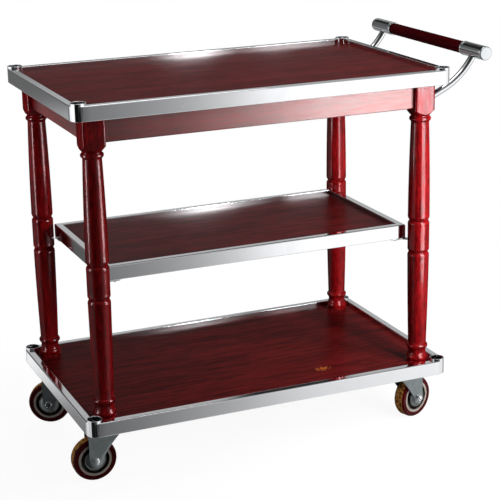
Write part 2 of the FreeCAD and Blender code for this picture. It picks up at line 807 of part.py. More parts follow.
def caster_plate():
    """Mounting plate with its swivel race and kingpin, on the swivel axis."""
    low = caster_height - plate_thickness
    plate = rounded_plate(plate_length / 2, plate_width / 2, plate_corner_radius, plate_thickness, low)
    race_low = fork_top_z + race_gap
    crown_low = fork_top_z - fork_thickness
    head_top = crown_low - kingpin_gap
    chain = Profile(0, head_top - kingpin_head_height)
    chain.line(kingpin_head_radius, head_top - kingpin_head_height).line(kingpin_head_radius, head_top)
    chain.line(kingpin_radius, head_top).line(kingpin_radius, race_low).line(race_radius, race_low)
    chain.line(race_radius, race_low + race_skirt_height)
    chain.line(race_top_radius, low).line(0, low)
    solid = plate.fuse(chain.turned()).removeSplitter()
    holes = []
    for a in (-1, 1):
        for b in (-1, 1):
            place = (a * plate_hole_spacing_x / 2, b * plate_hole_spacing_y / 2, low - overrun)
            holes.append(cylinder(screw_radius + screw_hole_clearance, 2 * overrun, place))
    return solid.cut(Part.makeCompound(holes)).Solids[0]


def caster_fork():
    """Stamped fork: an inverted channel trimmed to the swept side outline."""
    wall = fork_thickness
    bend = fork_bend_radius
    channel = box((-fork_crown_front, -fork_outer, 0), (caster_trail + fork_eye_radius, fork_outer, fork_top_z))
    top_edges = [e for e in channel.Edges
                 if abs(e.Vertexes[0].Point.z - fork_top_z) + abs(e.Vertexes[1].Point.z - fork_top_z) < wall / 1000
                 and abs(e.Vertexes[0].Point.y - e.Vertexes[1].Point.y) < wall / 1000]
    channel = channel.makeFillet(bend, top_edges)
    hollow = box((-fork_crown_front - overrun, -fork_inner, -overrun),
                 (caster_trail + fork_eye_radius + overrun, fork_inner, fork_top_z - wall))
    inner_edges = [e for e in hollow.Edges
                   if abs(e.Vertexes[0].Point.z - fork_top_z + wall)
                   + abs(e.Vertexes[1].Point.z - fork_top_z + wall) < wall / 1000
                   and abs(e.Vertexes[0].Point.y - e.Vertexes[1].Point.y) < wall / 1000]
    hollow = hollow.makeFillet(bend - wall, inner_edges)
    channel = channel.cut(hollow)
    eye = fork_eye_radius
    front = (-fork_crown_front, fork_top_z - bend)
    back_x = caster_trail + eye
    side = Profile(-fork_crown_front, fork_top_z, lambda s, z: Vector(s, -fork_outer, z))
    side.line(back_x, fork_top_z).line(back_x, wheel_radius)
    side.arc((caster_trail, wheel_radius - eye), caster_trail - eye, wheel_radius)
    waist_x = front[0] + (caster_trail - eye - front[0]) * (1 - fork_waist_share) + fork_waist_back
    waist_z = wheel_radius + (front[1] - wheel_radius) * fork_waist_share
    side.arc((waist_x, waist_z), *front)
    outline = side.face().extrude(Vector(0, 2 * fork_outer, 0))
    pin = cylinder(kingpin_radius + running_clearance, 2 * overrun, (0, 0, fork_top_z - overrun - wall / 2))
    bolt = cylinder(bolt_radius + bolt_clearance, 2 * fork_outer + 2 * overrun,
                    (caster_trail, -fork_outer - overrun, wheel_radius), (0, 1, 0))
    return channel.common(outline).cut(Part.makeCompound([pin, bolt])).Solids[0]


def wheel_profile(radius, half):
    """Start of a section turned about the wheel's axle."""
    return Profile(radius, half, lambda r, h: Vector(caster_trail + r, h, wheel_radius))


def turned_on_axle(chain):
    """Section turned about the wheel's axle."""
    return chain.turned((caster_trail, 0, wheel_radius), (0, 1, 0))


def caster_hub():
    """Wheel centre: a boss on the spacer, a thin web and a broad rim."""
    bore = spacer_radius + running_clearance
    boss_half = spacer_half_length - guard_gap
    rim_inner = hub_radius - hub_rim_wall
    web = hub_web_half_thickness
    chain = wheel_profile(bore, -boss_half)
    chain.line(hub_boss_radius, -boss_half).line(hub_boss_radius, -web).line(rim_inner, -web)
    chain.line(rim_inner, -hub_rim_half_width).line(hub_radius, -hub_rim_half_width)
    chain.line(hub_radius, hub_rim_half_width).line(rim_inner, hub_rim_half_width)
    chain.line(rim_inner, web).line(hub_boss_radius, web).line(hub_boss_radius, boss_half).line(bore, boss_half)
    return turned_on_axle(chain)


def caster_tyre():
    """Crowned tyre moulded round the hub."""
    half = tyre_half_width
    flat = tyre_flat_half_width
    edge = wheel_radius - tyre_shoulder_drop
    soft = tyre_edge_radius
    corner_share = 1 - math.sqrt(0.5)
    shoulder_share = 0.25
    mid_half = (flat + half - soft) / 2
    mid_radius = wheel_radius - tyre_shoulder_drop * shoulder_share
    chain = wheel_profile(hub_radius, -half).line(edge - soft, -half)
    chain.arc((edge - soft * corner_share, soft * corner_share - half), edge, soft - half)
    chain.arc((mid_radius, -mid_half), wheel_radius, -flat).line(wheel_radius, flat)
    chain.arc((mid_radius, mid_half), edge, half - soft)
    chain.arc((edge - soft * corner_share, half - soft * corner_share), edge - soft, half)
    chain.line(hub_radius, half)
    return turned_on_axle(chain)


def caster_guards():
    """Two dished covers clamped between the spacer and the fork."""
    guards = []
    inner = bolt_radius + bolt_clearance
    for side in (-1, 1):
        near = side * spacer_half_length
        far = side * (spacer_half_length + guard_thickness)
        chain = wheel_profile(inner, near).line(guard_flat_radius, near)
        chain.line(guard_radius, near - side * guard_dish).line(guard_radius, far - side * guard_dish)
        chain.line(guard_flat_radius, far).line(inner, far)
        guards.append(turned_on_axle(chain))
    return guards


def caster_axle():
    """Spacer, hex bolt and nut through the fork."""
    inner = bolt_radius + bolt_clearance
    half = spacer_half_length
    spacer = turned_on_axle(wheel_profile(inner, -half).line(spacer_radius, -half)
                            .line(spacer_radius, half).line(inner, half))
    head_seat = (caster_trail, fork_outer, wheel_radius)
    nut_seat = (caster_trail, -fork_outer, wheel_radius)
    reach = 2 * fork_outer + axle_nut_height + axle_bolt_end
    bolt = cylinder(bolt_radius, reach, head_seat, (0, -1, 0))
    bolt = bolt.fuse(hexagon_bar(bolt_head_across, bolt_head_height, head_seat, (0, 1, 0))).removeSplitter()
    nut = hexagon_bar(bolt_head_across, axle_nut_height, nut_seat, (0, -1, 0))
    nut = nut.cut(cylinder(bolt_radius + bolt_clearance, axle_nut_height + 2 * overrun,
                           (caster_trail, -fork_outer + overrun, wheel_radius), (0, -1, 0)))
    return [spacer, bolt, nut]


def placed(shape, corner, heading):
    """Copy of a caster piece, turned to its heading and set under its corner."""
    sx, sy = CORNERS[corner]
    piece = shape.copy()
    piece.rotate(Vector(0, 0, 0), Vector(0, 0, 1), math.degrees(heading))
    piece.translate(Vector(cart_x + sx * swivel_x, sy * swivel_y, 0))
    return piece


def trays():
    """Panels, rails and corner pieces of the three tiers, by node name."""
    nodes = {}
    block_screws = [block_screw_place(sx, sy) for sx, sy in CORNERS.values()]
    top = stepped_panel(tray_half_x, tray_half_y, leg_top_z + panel_thickness, True)
    nodes["top_panel"] = drilled(top, block_screws, screw_radius + screw_hole_clearance, leg_top_z - overrun,
                                 overrun + screw_length - corner_block_web + screw_hole_clearance)
    bottom = stepped_panel(tray_half_x, tray_half_y, foot_z, True)
    foot_bolts = [(cart_x + sx * leg_x, sy * leg_y) for sx, sy in CORNERS.values()]
    nodes["bottom_panel"] = drilled(bottom, foot_bolts, bolt_radius + bolt_clearance,
                                    foot_z - panel_thickness - overrun, panel_thickness + 2 * overrun)
    nodes["middle_panel"] = stepped_panel(shelf_half_x, shelf_half_y,
                                          shelf_rail_z + rail_height - panel_recess, False)
    for tier, rail_z in (("top", top_rail_z), ("bottom", bottom_rail_z)):
        for side, rail in cup_rails(rail_z).items():
            nodes[f"{tier}_rail_{side}"] = rail
        nodes[f"{tier}_corner_cups"] = Part.makeCompound(corner_cups(rail_z))
    holes = []
    for sx, sy in CORNERS.values():
        for x, y in bracket_screw_places(sx, sy):
            holes.append(cylinder(screw_radius + screw_hole_clearance, 2 * overrun, (x, y, shelf_rail_z - overrun)))
    for side, rail in mitred_rails(shelf_half_x, shelf_half_y, shelf_rail_z).items():
        nodes[f"middle_rail_{side}"] = rail.cut(Part.makeCompound(holes)).Solids[0]
    nodes["shelf_brackets"] = Part.makeCompound(shelf_brackets())
    return nodes


def frame():
    """Legs, aprons, battens, corner blocks and their fasteners, by node name."""
    nodes = {f"leg_{corner}": leg for corner, leg in legs().items()}
    nodes.update({f"apron_{side}": board for side, board in aprons().items()})
    nodes.update({f"caster_batten_{side}": board for side, board in battens().items()})
    nodes["corner_blocks"] = Part.makeCompound(corner_blocks())
    bolts = []
    for sx, sy in CORNERS.values():
        bolts.append(leg_bolt(*foot_bolt_place(sx, sy)))
        bolts.append(leg_bolt(*block_bolt_place(sx, sy)))
    nodes["leg_bolts"] = Part.makeCompound(bolts)
    nodes["pan_head_screws"] = Part.makeCompound(screws())
    return nodes


def handle():
    """Grip, sleeves and tubes of the push handle, by node name."""
    nodes = {"handle_grip": handle_grip()}
    nodes.update({f"handle_sleeve_{side}": sleeve for side, sleeve in handle_sleeves().items()})
    nodes.update({f"handle_tube_{side}": tube for side, tube in handle_tubes().items()})
    return nodes


def casters():
    """Pieces of the four casters, by node name."""
    plate = caster_plate()
    turning = {"fork": caster_fork(), "axle": Part.makeCompound(caster_axle()),
               "guards": Part.makeCompound(caster_guards()), "hub": caster_hub(), "tyre": caster_tyre()}
    nodes = {}
    for corner, heading in HEADINGS.items():
        nodes[f"caster_{corner}_plate"] = placed(plate, corner, 0)
        for piece, shape in turning.items():
            nodes[f"caster_{corner}_{piece}"] = placed(shape, corner, heading)
    return nodes


def main():
    """Build every node and write its STEP file."""
    os.makedirs("parts", exist_ok=True)
    nodes = {}
    for group in (trays, frame, handle, casters):
        nodes.update(group())
    for name, shape in nodes.items():
        shape.exportStep(f"parts/{name}.step")


main()
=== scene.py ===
"""Serving cart dressed for the camera: turned legs, chromed rails, laminate trays, handle and casters.

Lengths are in metres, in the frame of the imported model: +X towards the push handle, +Y to the back, +Z up.
"""
from __future__ import annotations

import json
import logging
import math
from dataclasses import dataclass, field, replace
from enum import Enum
from typing import Any, Sequence, Union

import bpy
from mathutils import Matrix, Vector

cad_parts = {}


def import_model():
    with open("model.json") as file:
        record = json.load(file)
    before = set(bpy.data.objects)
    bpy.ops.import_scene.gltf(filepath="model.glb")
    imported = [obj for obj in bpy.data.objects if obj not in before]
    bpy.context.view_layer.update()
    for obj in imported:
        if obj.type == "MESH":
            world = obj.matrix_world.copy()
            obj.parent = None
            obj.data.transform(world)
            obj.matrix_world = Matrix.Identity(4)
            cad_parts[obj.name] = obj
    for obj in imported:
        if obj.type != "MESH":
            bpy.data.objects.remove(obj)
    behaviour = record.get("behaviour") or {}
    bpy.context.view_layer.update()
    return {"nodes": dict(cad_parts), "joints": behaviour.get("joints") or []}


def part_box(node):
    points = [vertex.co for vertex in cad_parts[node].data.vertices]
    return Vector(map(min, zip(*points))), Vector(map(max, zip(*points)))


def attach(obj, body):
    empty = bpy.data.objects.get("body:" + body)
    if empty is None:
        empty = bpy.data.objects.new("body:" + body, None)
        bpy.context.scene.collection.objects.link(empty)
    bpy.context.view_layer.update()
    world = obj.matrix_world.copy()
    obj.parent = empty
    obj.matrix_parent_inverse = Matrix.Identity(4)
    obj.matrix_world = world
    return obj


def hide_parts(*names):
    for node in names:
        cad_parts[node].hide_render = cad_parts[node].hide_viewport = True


LOG = logging.getLogger("serving_cart")

Point2 = tuple[float, float]
Point3 = tuple[float, float, float]
Span = tuple[float, float]
Colour = tuple[float, float, float]
Number = Union["Wire", float]

WHITE = (1.0, 1.0, 1.0, 1.0)
EDGE_SPAN: Span = (0.01, 0.16)
EDGE_SAMPLES = 6
WELD_REACH = 0.00002
BEVEL_SEGMENTS = 2
KEPT_EDGE_OVER = 40.0
HEX_STEPS = 48
HEX_TOP_SHARES = (0.97, 0.2)
LEAST_RUN = 1e-9
QUARTER = math.tau / 4
# How far the middle of a quarter round lies in from its sharp corner, as a share of the radius on each side.
ROUND_SHARE = 1 - math.sqrt(0.5)


class Side(Enum):
    """Side of a tray that a rail runs along, with the quarter turns from the front side."""

    FRONT = 0
    RIGHT = 1
    BACK = 2
    LEFT = 3


class Corner(Enum):
    """Corner of the cart, as the signs of X and Y."""

    FRONT_LEFT = (-1, -1)
    FRONT_RIGHT = (1, -1)
    BACK_LEFT = (-1, 1)
    BACK_RIGHT = (1, 1)

    @property
    def label(self) -> str:
        """Name of the corner in node names."""
        return self.name.lower()

    @property
    def quarter(self) -> int:
        """Quarter turns from the back right corner."""
        return {(1, 1): 0, (-1, 1): 1, (-1, -1): 2, (1, -1): 3}[self.value]


class Grain(Enum):
    """Axis that a timber's grain follows, as the stretch of its pattern along X, Y and Z."""

    ALONG_X = (0.035, 1.0, 1.0)
    ALONG_Y = (1.0, 0.035, 1.0)
    ALONG_Z = (1.0, 1.0, 0.035)


class Wire:
    """Output socket of a node. Arithmetic on it adds Math nodes to its tree."""

    def __init__(self, tree: "Tree", socket: bpy.types.NodeSocket) -> None:
        """Wrap a socket of a tree."""
        self.tree = tree
        self.socket = socket

    def _math(self, operation: str, *values: Number) -> "Wire":
        """Math node of one operation."""
        return self.tree.add("ShaderNodeMath", {"operation": operation}, dict(enumerate(values)))

    def __add__(self, other: Number) -> "Wire":
        """Sum."""
        return self._math("ADD", self, other)

    def __radd__(self, other: Number) -> "Wire":
        """Sum with a number on the left."""
        return self._math("ADD", other, self)

    def __sub__(self, other: Number) -> "Wire":
        """Difference."""
        return self._math("SUBTRACT", self, other)

    def __rsub__(self, other: Number) -> "Wire":
        """Difference with a number on the left."""
        return self._math("SUBTRACT", other, self)

    def __mul__(self, other: Number) -> "Wire":
        """Product."""
        return self._math("MULTIPLY", self, other)

    def __rmul__(self, other: Number) -> "Wire":
        """Product with a number on the left."""
        return self._math("MULTIPLY", other, self)

    def __pow__(self, other: Number) -> "Wire":
        """Power."""
        return self._math("POWER", self, other)

    def __rpow__(self, other: Number) -> "Wire":
        """Power of a number on the left."""
        return self._math("POWER", other, self)

    def at_most(self, other: Number) -> "Wire":
        """Smaller of two values."""
        return self._math("MINIMUM", self, other)

    def sine(self) -> "Wire":
        """Sine of an angle in radians."""
        return self._math("SINE", self)

    def rise(self, low: float, high: float) -> "Wire":
        """Smooth step from 0 at one value to 1 at another."""
        settings = {"interpolation_type": "SMOOTHSTEP"}
        return self.tree.add("ShaderNodeMapRange", settings, {0: self, 1: low, 2: high})


@dataclass(frozen=True)
class Pattern:
    """Fractal noise over an object: scale, octaves, their roughness, bend, and stretch along each axis."""

    scale: float
    detail: float = 3.0
    rough: float = 0.55
    bend: float = 0.0
    stretch: Sequence[float] = (1.0, 1.0, 1.0)

    def along(self, stretch: Sequence[float]) -> "Pattern":
        """The same noise with another stretch."""
        return replace(self, stretch=stretch)


class Tree:
    """Node tree of a material or world, filled through one method."""

    def __init__(self, owner: Any) -> None:
        """Start an empty tree.

        Args:
            owner: Material or world.
        """
        owner.use_nodes = True
        self.nodes = owner.node_tree.nodes
        self.links = owner.node_tree.links
        self.nodes.clear()

    def add(self, kind: str, settings: dict[str, Any] | None = None,
            inputs: dict[Any, Any] | None = None, output: int | str = 0) -> Wire:
        """Add a node.

        Args:
            kind: Blender's name of the node type.
            settings: Properties to set first, such as an operation, or a ramp's stops.
            inputs: Values or wires by socket name or number.
            output: Name or number of the output wanted.

        Returns:
            The wanted output, ready for arithmetic.
        """
        node = self.nodes.new(kind)
        for name, value in (settings or {}).items():
            if name == "stops":
                self._set_stops(node.color_ramp, value)
            else:
                setattr(node, name, value)
        for key, value in (inputs or {}).items():
            if isinstance(value, Wire):
                self.links.new(value.socket, node.inputs[key])
            else:
                node.inputs[key].default_value = value
        return Wire(self, node.outputs[output] if node.outputs else None)

    @staticmethod
    def _set_stops(ramp: bpy.types.ColorRamp, stops: Sequence[tuple[float, Colour]]) -> None:
        """Give a colour ramp its stops.

        Args:
            ramp: The ramp of a new node.
            stops: Place from 0 to 1 and colour of each stop, in order.
        """
        while len(ramp.elements) < len(stops):
            ramp.elements.new(1.0)
        for element, (place, colour) in zip(ramp.elements, stops):
            element.position = place
            element.color = (*colour, 1.0)

    def place(self, stretch: Sequence[float] = (1.0, 1.0, 1.0)) -> Wire:
        """Position on the object in metres, stretched for a pattern."""
        spot = self.add("ShaderNodeTexCoord", output="Object")
        return self.add("ShaderNodeMapping", {}, {"Vector": spot, "Scale": stretch})

    def noise(self, pattern: Pattern) -> Wire:
        """Value of a pattern, from 0 to 1."""
        return self.add("ShaderNodeTexNoise", {}, {
            "Vector": self.place(pattern.stretch), "Scale": pattern.scale, "Detail": pattern.detail,
            "Roughness": pattern.rough, "Distortion": pattern.bend})

    def vector(self, operation: str, first: Wire, second: Any = None) -> Wire:
        """Vector Math node.

        Args:
            operation: Blender's name of the operation.
            first: First vector.
            second: Second vector, if the operation takes one.

        Returns:
            A number for a length or a dot product, or else a vector.
        """
        inputs = {0: first} if second is None else {0: first, 1: second}
        output = "Value" if operation in ("LENGTH", "DOT_PRODUCT") else 0
        return self.add("ShaderNodeVectorMath", {"operation": operation}, inputs, output)

    def ray(self, kind: str) -> Wire:
        """1 for a kind of ray, such as Camera or Glossy, and else 0."""
        return self.add("ShaderNodeLightPath", output=f"Is {kind} Ray")

    def blend(self, share: Number, first: Any, second: Any) -> Wire:
        """Mix two colours.

        Args:
            share: 0 for the first colour, 1 for the second.
            first: Colour or wire.
            second: Colour or wire.

        Returns:
            The mixed colour.
        """
        pair = [value if isinstance(value, Wire) else (*value, 1.0) for value in (first, second)]
        return self.add("ShaderNodeMix", {"data_type": "RGBA"}, {0: share, 6: pair[0], 7: pair[1]}, 2)

    def bump(self, height: Wire, depth: float, strength: float) -> Wire:
        """Normal bent by a height from 0 to 1 over a depth in metres."""
        return self.add("ShaderNodeBump", {}, {"Height": height, "Distance": depth, "Strength": strength})

    def edges(self, width: float) -> Wire:
        """Mask of the object's edges.

        Args:
            width: Reach of an edge in metres.

        Returns:
            0 on the faces, rising to 1 at an edge.
        """
        plain = self.add("ShaderNodeNewGeometry", output="Normal")
        soft = self.add("ShaderNodeBevel", {"samples": EDGE_SAMPLES}, {"Radius": width})
        return (1.0 - self.vector("DOT_PRODUCT", plain, soft)).rise(*EDGE_SPAN)

    def surface(self, inputs: dict[str, Any], gloss: dict[str, Any] | None = None,
                share: Number = 0.0) -> None:
        """Close the tree with one principled surface, or with a share of a glossier one over it.

        Args:
            inputs: Sockets of the surface.
            gloss: Sockets that differ on the glossier surface.
            share: How much of the glossier surface shows.
        """
        shader = self.add("ShaderNodeBsdfPrincipled", {}, inputs)
        if gloss:
            over = self.add("ShaderNodeBsdfPrincipled", {}, {**inputs, **gloss})
            shader = self.add("ShaderNodeMixShader", {}, {0: share, 1: shader, 2: over})
        self.add("ShaderNodeOutputMaterial", {}, {"Surface": shader})


def dimmed(colour: Colour, share: float) -> Colour:
    """A colour at a share of its brightness."""
    return tuple(part * share for part in colour)


@dataclass(frozen=True)
class Finish:
    """Base of all finishes: a name, and a tree that is written once."""

    name: str

    def build(self) -> bpy.types.Material:
        """Material of this finish, made at its first use.

        Returns:
            The material of this name.
        """
        found = bpy.data.materials.get(self.name)
        if found is None:
            found = bpy.data.materials.new(self.name)
            self.write(Tree(found))
        return found

    def write(self, tree: Tree) -> None:
        """Fill the node tree."""
        raise NotImplementedError


@dataclass(frozen=True)
class Chip:
    """Small scuff where a laminate's brown core shows."""

    spot: Point3
    reach: float = 0.02565
    edge: float = 0.0012
    core: Colour = (0.66, 0.17, 0.035)
    squash: Point3 = (0.9, 1.5, 3.0)
    ragged: Pattern = Pattern(130.0, 4.0, 0.7, stretch=(1.0, 2.0, 1.0))
    ragged_span: Span = (0.36, 0.66)

    def mask(self, tree: Tree) -> Wire:
        """Share of the core that shows.

        Args:
            tree: The laminate's tree.

        Returns:
            1 inside the ragged spot, 0 outside.
        """
        apart = tree.vector("SUBTRACT", tree.place(), self.spot)
        flat = tree.add("ShaderNodeMapping", {}, {"Vector": apart, "Scale": self.squash})
        ragged = tree.noise(self.ragged).rise(*self.ragged_span)
        return (self.reach * ragged - tree.vector("LENGTH", flat)).rise(0.0, self.edge)


@dataclass(frozen=True)
class Laminate(Finish):
    """Dark mahogany laminate with fine lengthwise figure under a satin coat."""

    dark: Colour = (0.070, 0.0030, 0.0034)
    light: Colour = (0.210, 0.0110, 0.0120)
    pore: Colour = (0.016, 0.003, 0.003)
    pore_share: float = 0.45
    sheen: float = 0.42
    sheen_level: float = 0.08
    rough: float = 0.26
    smear_rough: float = 0.10
    torn_rough: float = 0.3
    chip: Chip | None = None
    broad: Pattern = Pattern(3.0, 4.0, 0.6, 0.6, (0.5, 9.0, 1.0))
    streaks: Pattern = Pattern(4.0, 6.0, 0.72, 0.9, (0.8, 26.0, 1.0))
    hairs: Pattern = Pattern(5.0, 3.0, 0.7, 0.2, (3.0, 36.0, 1.0))
    smears: Pattern = Pattern(7.0, stretch=(1.0, 1.6, 1.0))
    shares: tuple[float, float, float] = (0.14, 0.44, 0.42)
    figure_span: Span = (0.43, 0.57)
    pore_span: Span = (0.60, 0.74)
    pore_relief: float = -0.5
    streak_relief: float = 0.5
    relief: Span = (0.00003, 0.35)

    def write(self, tree: Tree) -> None:
        """Streaks of three sizes, pores in the bump, and a chip where one is asked for.

        Args:
            tree: The finish's tree.
        """
        broad, streaks, hairs = (tree.noise(pattern) for pattern in (self.broad, self.streaks, self.hairs))
        figure = broad * self.shares[0] + streaks * self.shares[1] + hairs * self.shares[2]
        colour = tree.blend(figure.rise(*self.figure_span), self.dark, self.light)
        pores = hairs.rise(*self.pore_span)
        colour = tree.blend(pores * self.pore_share, colour, self.pore)
        rough = self.rough + tree.noise(self.smears) * self.smear_rough
        if self.chip:
            torn = self.chip.mask(tree)
            colour = tree.blend(torn, colour, self.chip.core)
            rough = rough + torn * self.torn_rough
        tree.surface({
            "Base Color": colour, "Roughness": rough, "Specular IOR Level": 0.0,
            "Normal": tree.bump(pores * self.pore_relief + streaks * self.streak_relief, *self.relief),
        }, {"Specular IOR Level": self.sheen_level}, self.sheen)


@dataclass(frozen=True)
class Lacquer(Finish):
    """Stained red mahogany under a polished lacquer."""

    grain: Grain = Grain.ALONG_Z
    dark: Colour = (0.070, 0.0006, 0.0012)
    light: Colour = (0.360, 0.0075, 0.0100)
    rough: float = 0.13
    level: float = 0.0
    gloss: float = 0.016
    glint: Colour = (1.0, 0.72, 0.75)
    figure: Pattern = Pattern(70.0, 5.0, 0.62, 1.1)
    figure_share: float = 0.43
    mottle: Pattern = Pattern(150.0, 4.0, 0.7, 0.6)
    mottle_share: float = 0.57
    mottle_length: float = 0.22
    lines: Pattern = Pattern(300.0, 4.0, 0.7, 0.3)
    line_share: float = 0.20
    cloud: Pattern = Pattern(9.0, 2.0)
    cloud_share: float = 0.10
    peel: Pattern = Pattern(900.0, 2.0)
    stain_span: Span = (0.38, 0.62)
    pore_span: Span = (0.56, 0.66)
    open_share: float = 0.5
    open_span: Span = (0.42, 0.60)
    open_loss: float = 0.65
    gloss_start: float = 1.3
    pore_share: float = 0.7
    pore_dark: float = 0.25
    worn_share: float = 0.22
    cloud_rough: float = 0.06
    worn_rough: float = 0.05
    edge_width: float = 0.0012
    peel_relief: float = 0.4
    pore_relief: float = -0.6
    relief: Span = (0.00004, 0.25)

    def write(self, tree: Tree) -> None:
        """Stain that gathers in the grain, under a coat with orange peel, broken up by the open grain.

        Args:
            tree: The finish's tree.
        """
        short = tuple(max(part, self.mottle_length) for part in self.grain.value)
        figure = tree.noise(self.figure.along(self.grain.value))
        mottle = tree.noise(self.mottle.along(short))
        lines = tree.noise(self.lines.along(self.grain.value))
        cloud = tree.noise(self.cloud)
        rest = 1.0 - self.cloud_share - self.line_share
        stain = figure * rest * self.figure_share + mottle * rest * self.mottle_share
        stain = stain + lines * self.line_share + cloud * self.cloud_share
        colour = tree.blend(stain.rise(*self.stain_span), self.dark, self.light)
        pores = lines.rise(*self.pore_span)
        colour = tree.blend(pores * self.pore_share, colour, dimmed(self.dark, self.pore_dark))
        worn = tree.edges(self.edge_width)
        colour = tree.blend(worn * self.worn_share, colour, self.light)
        open_grain = lines * self.open_share + mottle * (1.0 - self.open_share)
        relief = tree.noise(self.peel) * self.peel_relief + pores * self.pore_relief
        tree.surface({
            "Base Color": colour, "Specular IOR Level": self.level,
            "Roughness": self.rough + cloud * self.cloud_rough + worn * self.worn_rough,
            "Normal": tree.bump(relief, *self.relief),
        }, {"Base Color": (*self.glint, 1.0), "Metallic": 1.0},
            (self.gloss_start - open_grain.rise(*self.open_span) * self.open_loss) * self.gloss)


@dataclass(frozen=True)
class Chrome(Finish):
    """Chromed or polished metal with faint smears and hairlines."""

    tint: Colour = (0.80, 0.81, 0.83)
    tarnish: Colour = (0.55, 0.56, 0.57)
    rubbed: Colour = (0.93, 0.94, 0.95)
    rough: float = 0.07
    smears: Pattern = Pattern(26.0, 4.0, 0.6, 0.4)
    hairlines: Pattern = Pattern(420.0, 3.0, 0.7)
    spots: Pattern = Pattern(210.0, 3.0, 0.6)
    smear_span: Span = (0.45, 0.85)
    smear_share: float = 0.12
    smear_rough: float = 0.05
    hairline_rough: float = 0.03
    spot_span: Span = (0.66, 0.8)
    spot_share: float = 0.10
    spot_rough: float = 0.08
    rubbed_share: float = 0.35
    edge_width: float = 0.0008
    relief: Span = (0.000002, 0.2)

    def write(self, tree: Tree) -> None:
        """Smears and spots in colour and roughness, bright rubbed edges, and hairlines in the bump.

        Args:
            tree: The finish's tree.
        """
        smears, hairlines = tree.noise(self.smears), tree.noise(self.hairlines)
        spots = tree.noise(self.spots).rise(*self.spot_span)
        tarnished = smears.rise(*self.smear_span) * self.smear_share + spots * self.spot_share
        colour = tree.blend(tarnished, self.tint, self.tarnish)
        colour = tree.blend(tree.edges(self.edge_width) * self.rubbed_share, colour, self.rubbed)
        rough = self.rough + smears * self.smear_rough + hairlines * self.hairline_rough
        tree.surface({
            "Base Color": colour, "Metallic": 1.0, "Roughness": rough + spots * self.spot_rough,
            "Normal": tree.bump(hairlines, *self.relief),
        })


@dataclass(frozen=True)
class Zinc(Finish):
    """Zinc-plated steel, dull grey with cloudy passivation."""

    tint: Colour = (0.30, 0.335, 0.345)
    rubbed: Colour = (0.72, 0.73, 0.74)
    rough: float = 0.36
    metal: float = 0.85
    cloud: Pattern = Pattern(34.0, 5.0, 0.65, 0.8)
    speckle: Pattern = Pattern(480.0, 3.0, 0.6)
    cloud_share: float = 0.7
    cloud_span: Span = (0.32, 0.72)
    cloud_dark: float = 0.72
    cloud_rough: float = 0.14
    rubbed_share: float = 0.6
    rubbed_rough: float = -0.12
    edge_width: float = 0.0007
    relief: Span = (0.00002, 0.3)

    def write(self, tree: Tree) -> None:
        """Clouds of two sizes, rubbed bright at the edges.

        Args:
            tree: The finish's tree.
        """
        cloud, speckle = tree.noise(self.cloud), tree.noise(self.speckle)
        worn = tree.edges(self.edge_width)
        share = (cloud * self.cloud_share + speckle * (1.0 - self.cloud_share)).rise(*self.cloud_span)
        colour = tree.blend(share, dimmed(self.tint, self.cloud_dark), self.tint)
        colour = tree.blend(worn * self.rubbed_share, colour, self.rubbed)
        tree.surface({
            "Base Color": colour, "Metallic": self.metal,
            "Roughness": self.rough + cloud * self.cloud_rough + worn * self.rubbed_rough,
            "Normal": tree.bump(speckle, *self.relief),
        })


@dataclass(frozen=True)
class WheelFinish(Finish):
    """Base of the finishes that change with the distance from a wheel's axle."""

    axle: Point3 = (0.0, 0.0, 0.0)
    axis: Point3 = (0.0, 1.0, 0.0)

    def reach(self, tree: Tree) -> Wire:
        """Distance from the axle's line.

        Args:
            tree: The finish's tree.

        Returns:
            The distance in metres.
        """
        apart = tree.vector("SUBTRACT", tree.add("ShaderNodeTexCoord", output="Object"), self.axle)
        across = tree.vector("DOT_PRODUCT", apart, self.axis)
        span = tree.vector("LENGTH", apart)
        return (span * span - across * across) ** 0.5


@dataclass(frozen=True)
class Tyre(WheelFinish):
    """Maroon moulded tyre, whose tread is scuffed to a golden brown."""

    radius: float = 0.05
    maroon: Colour = (0.110, 0.0016, 0.0036)
    scuffed: Colour = (1.0, 0.46, 0.11)
    dirt: Colour = (0.06, 0.012, 0.006)
    level: float = 0.07
    rough: float = 0.22
    cloud_rough: float = 0.1
    tread_rough: float = 0.42
    scuff_dark: float = 0.06
    side_dark: float = 0.55
    dirt_share: float = 0.8
    ragged: Pattern = Pattern(95.0, 5.0, 0.7, 0.5)
    grit: Pattern = Pattern(210.0, 4.0, 0.75, 0.6)
    cloud: Pattern = Pattern(60.0)
    grit_span: Span = (0.44, 0.54)
    dirt_span: Span = (0.56, 0.68)
    cloud_span: Span = (0.3, 0.75)
    tread_drop: Span = (0.0009, 0.0002)
    ragged_reach: float = 0.0012
    ring_rate: float = 2600.0
    ring_relief: float = 0.12
    relief: Span = (0.0002, 0.6)

    def write(self, tree: Tree) -> None:
        """Ragged scuffed tread with dirt in it, and fine moulded rings on the sides.

        Args:
            tree: The finish's tree.
        """
        reach = self.reach(tree)
        ragged, grit, cloud = tree.noise(self.ragged), tree.noise(self.grit), tree.noise(self.cloud)
        edge = reach + ragged * self.ragged_reach - self.ragged_reach / 2
        tread = edge.rise(self.radius - self.tread_drop[0], self.radius - self.tread_drop[1])
        worn = tree.blend(grit.rise(*self.grit_span), dimmed(self.scuffed, self.scuff_dark), self.scuffed)
        worn = tree.blend(ragged.rise(*self.dirt_span) * self.dirt_share, worn, self.dirt)
        side = tree.blend(cloud.rise(*self.cloud_span), dimmed(self.maroon, self.side_dark), self.maroon)
        rings = (reach * self.ring_rate).sine() * self.ring_relief
        tree.surface({
            "Base Color": tree.blend(tread, side, worn), "Specular IOR Level": self.level,
            "Roughness": self.rough + cloud * self.cloud_rough + tread * self.tread_rough,
            "Normal": tree.bump(grit * tread + rings * (1.0 - tread), *self.relief),
        })


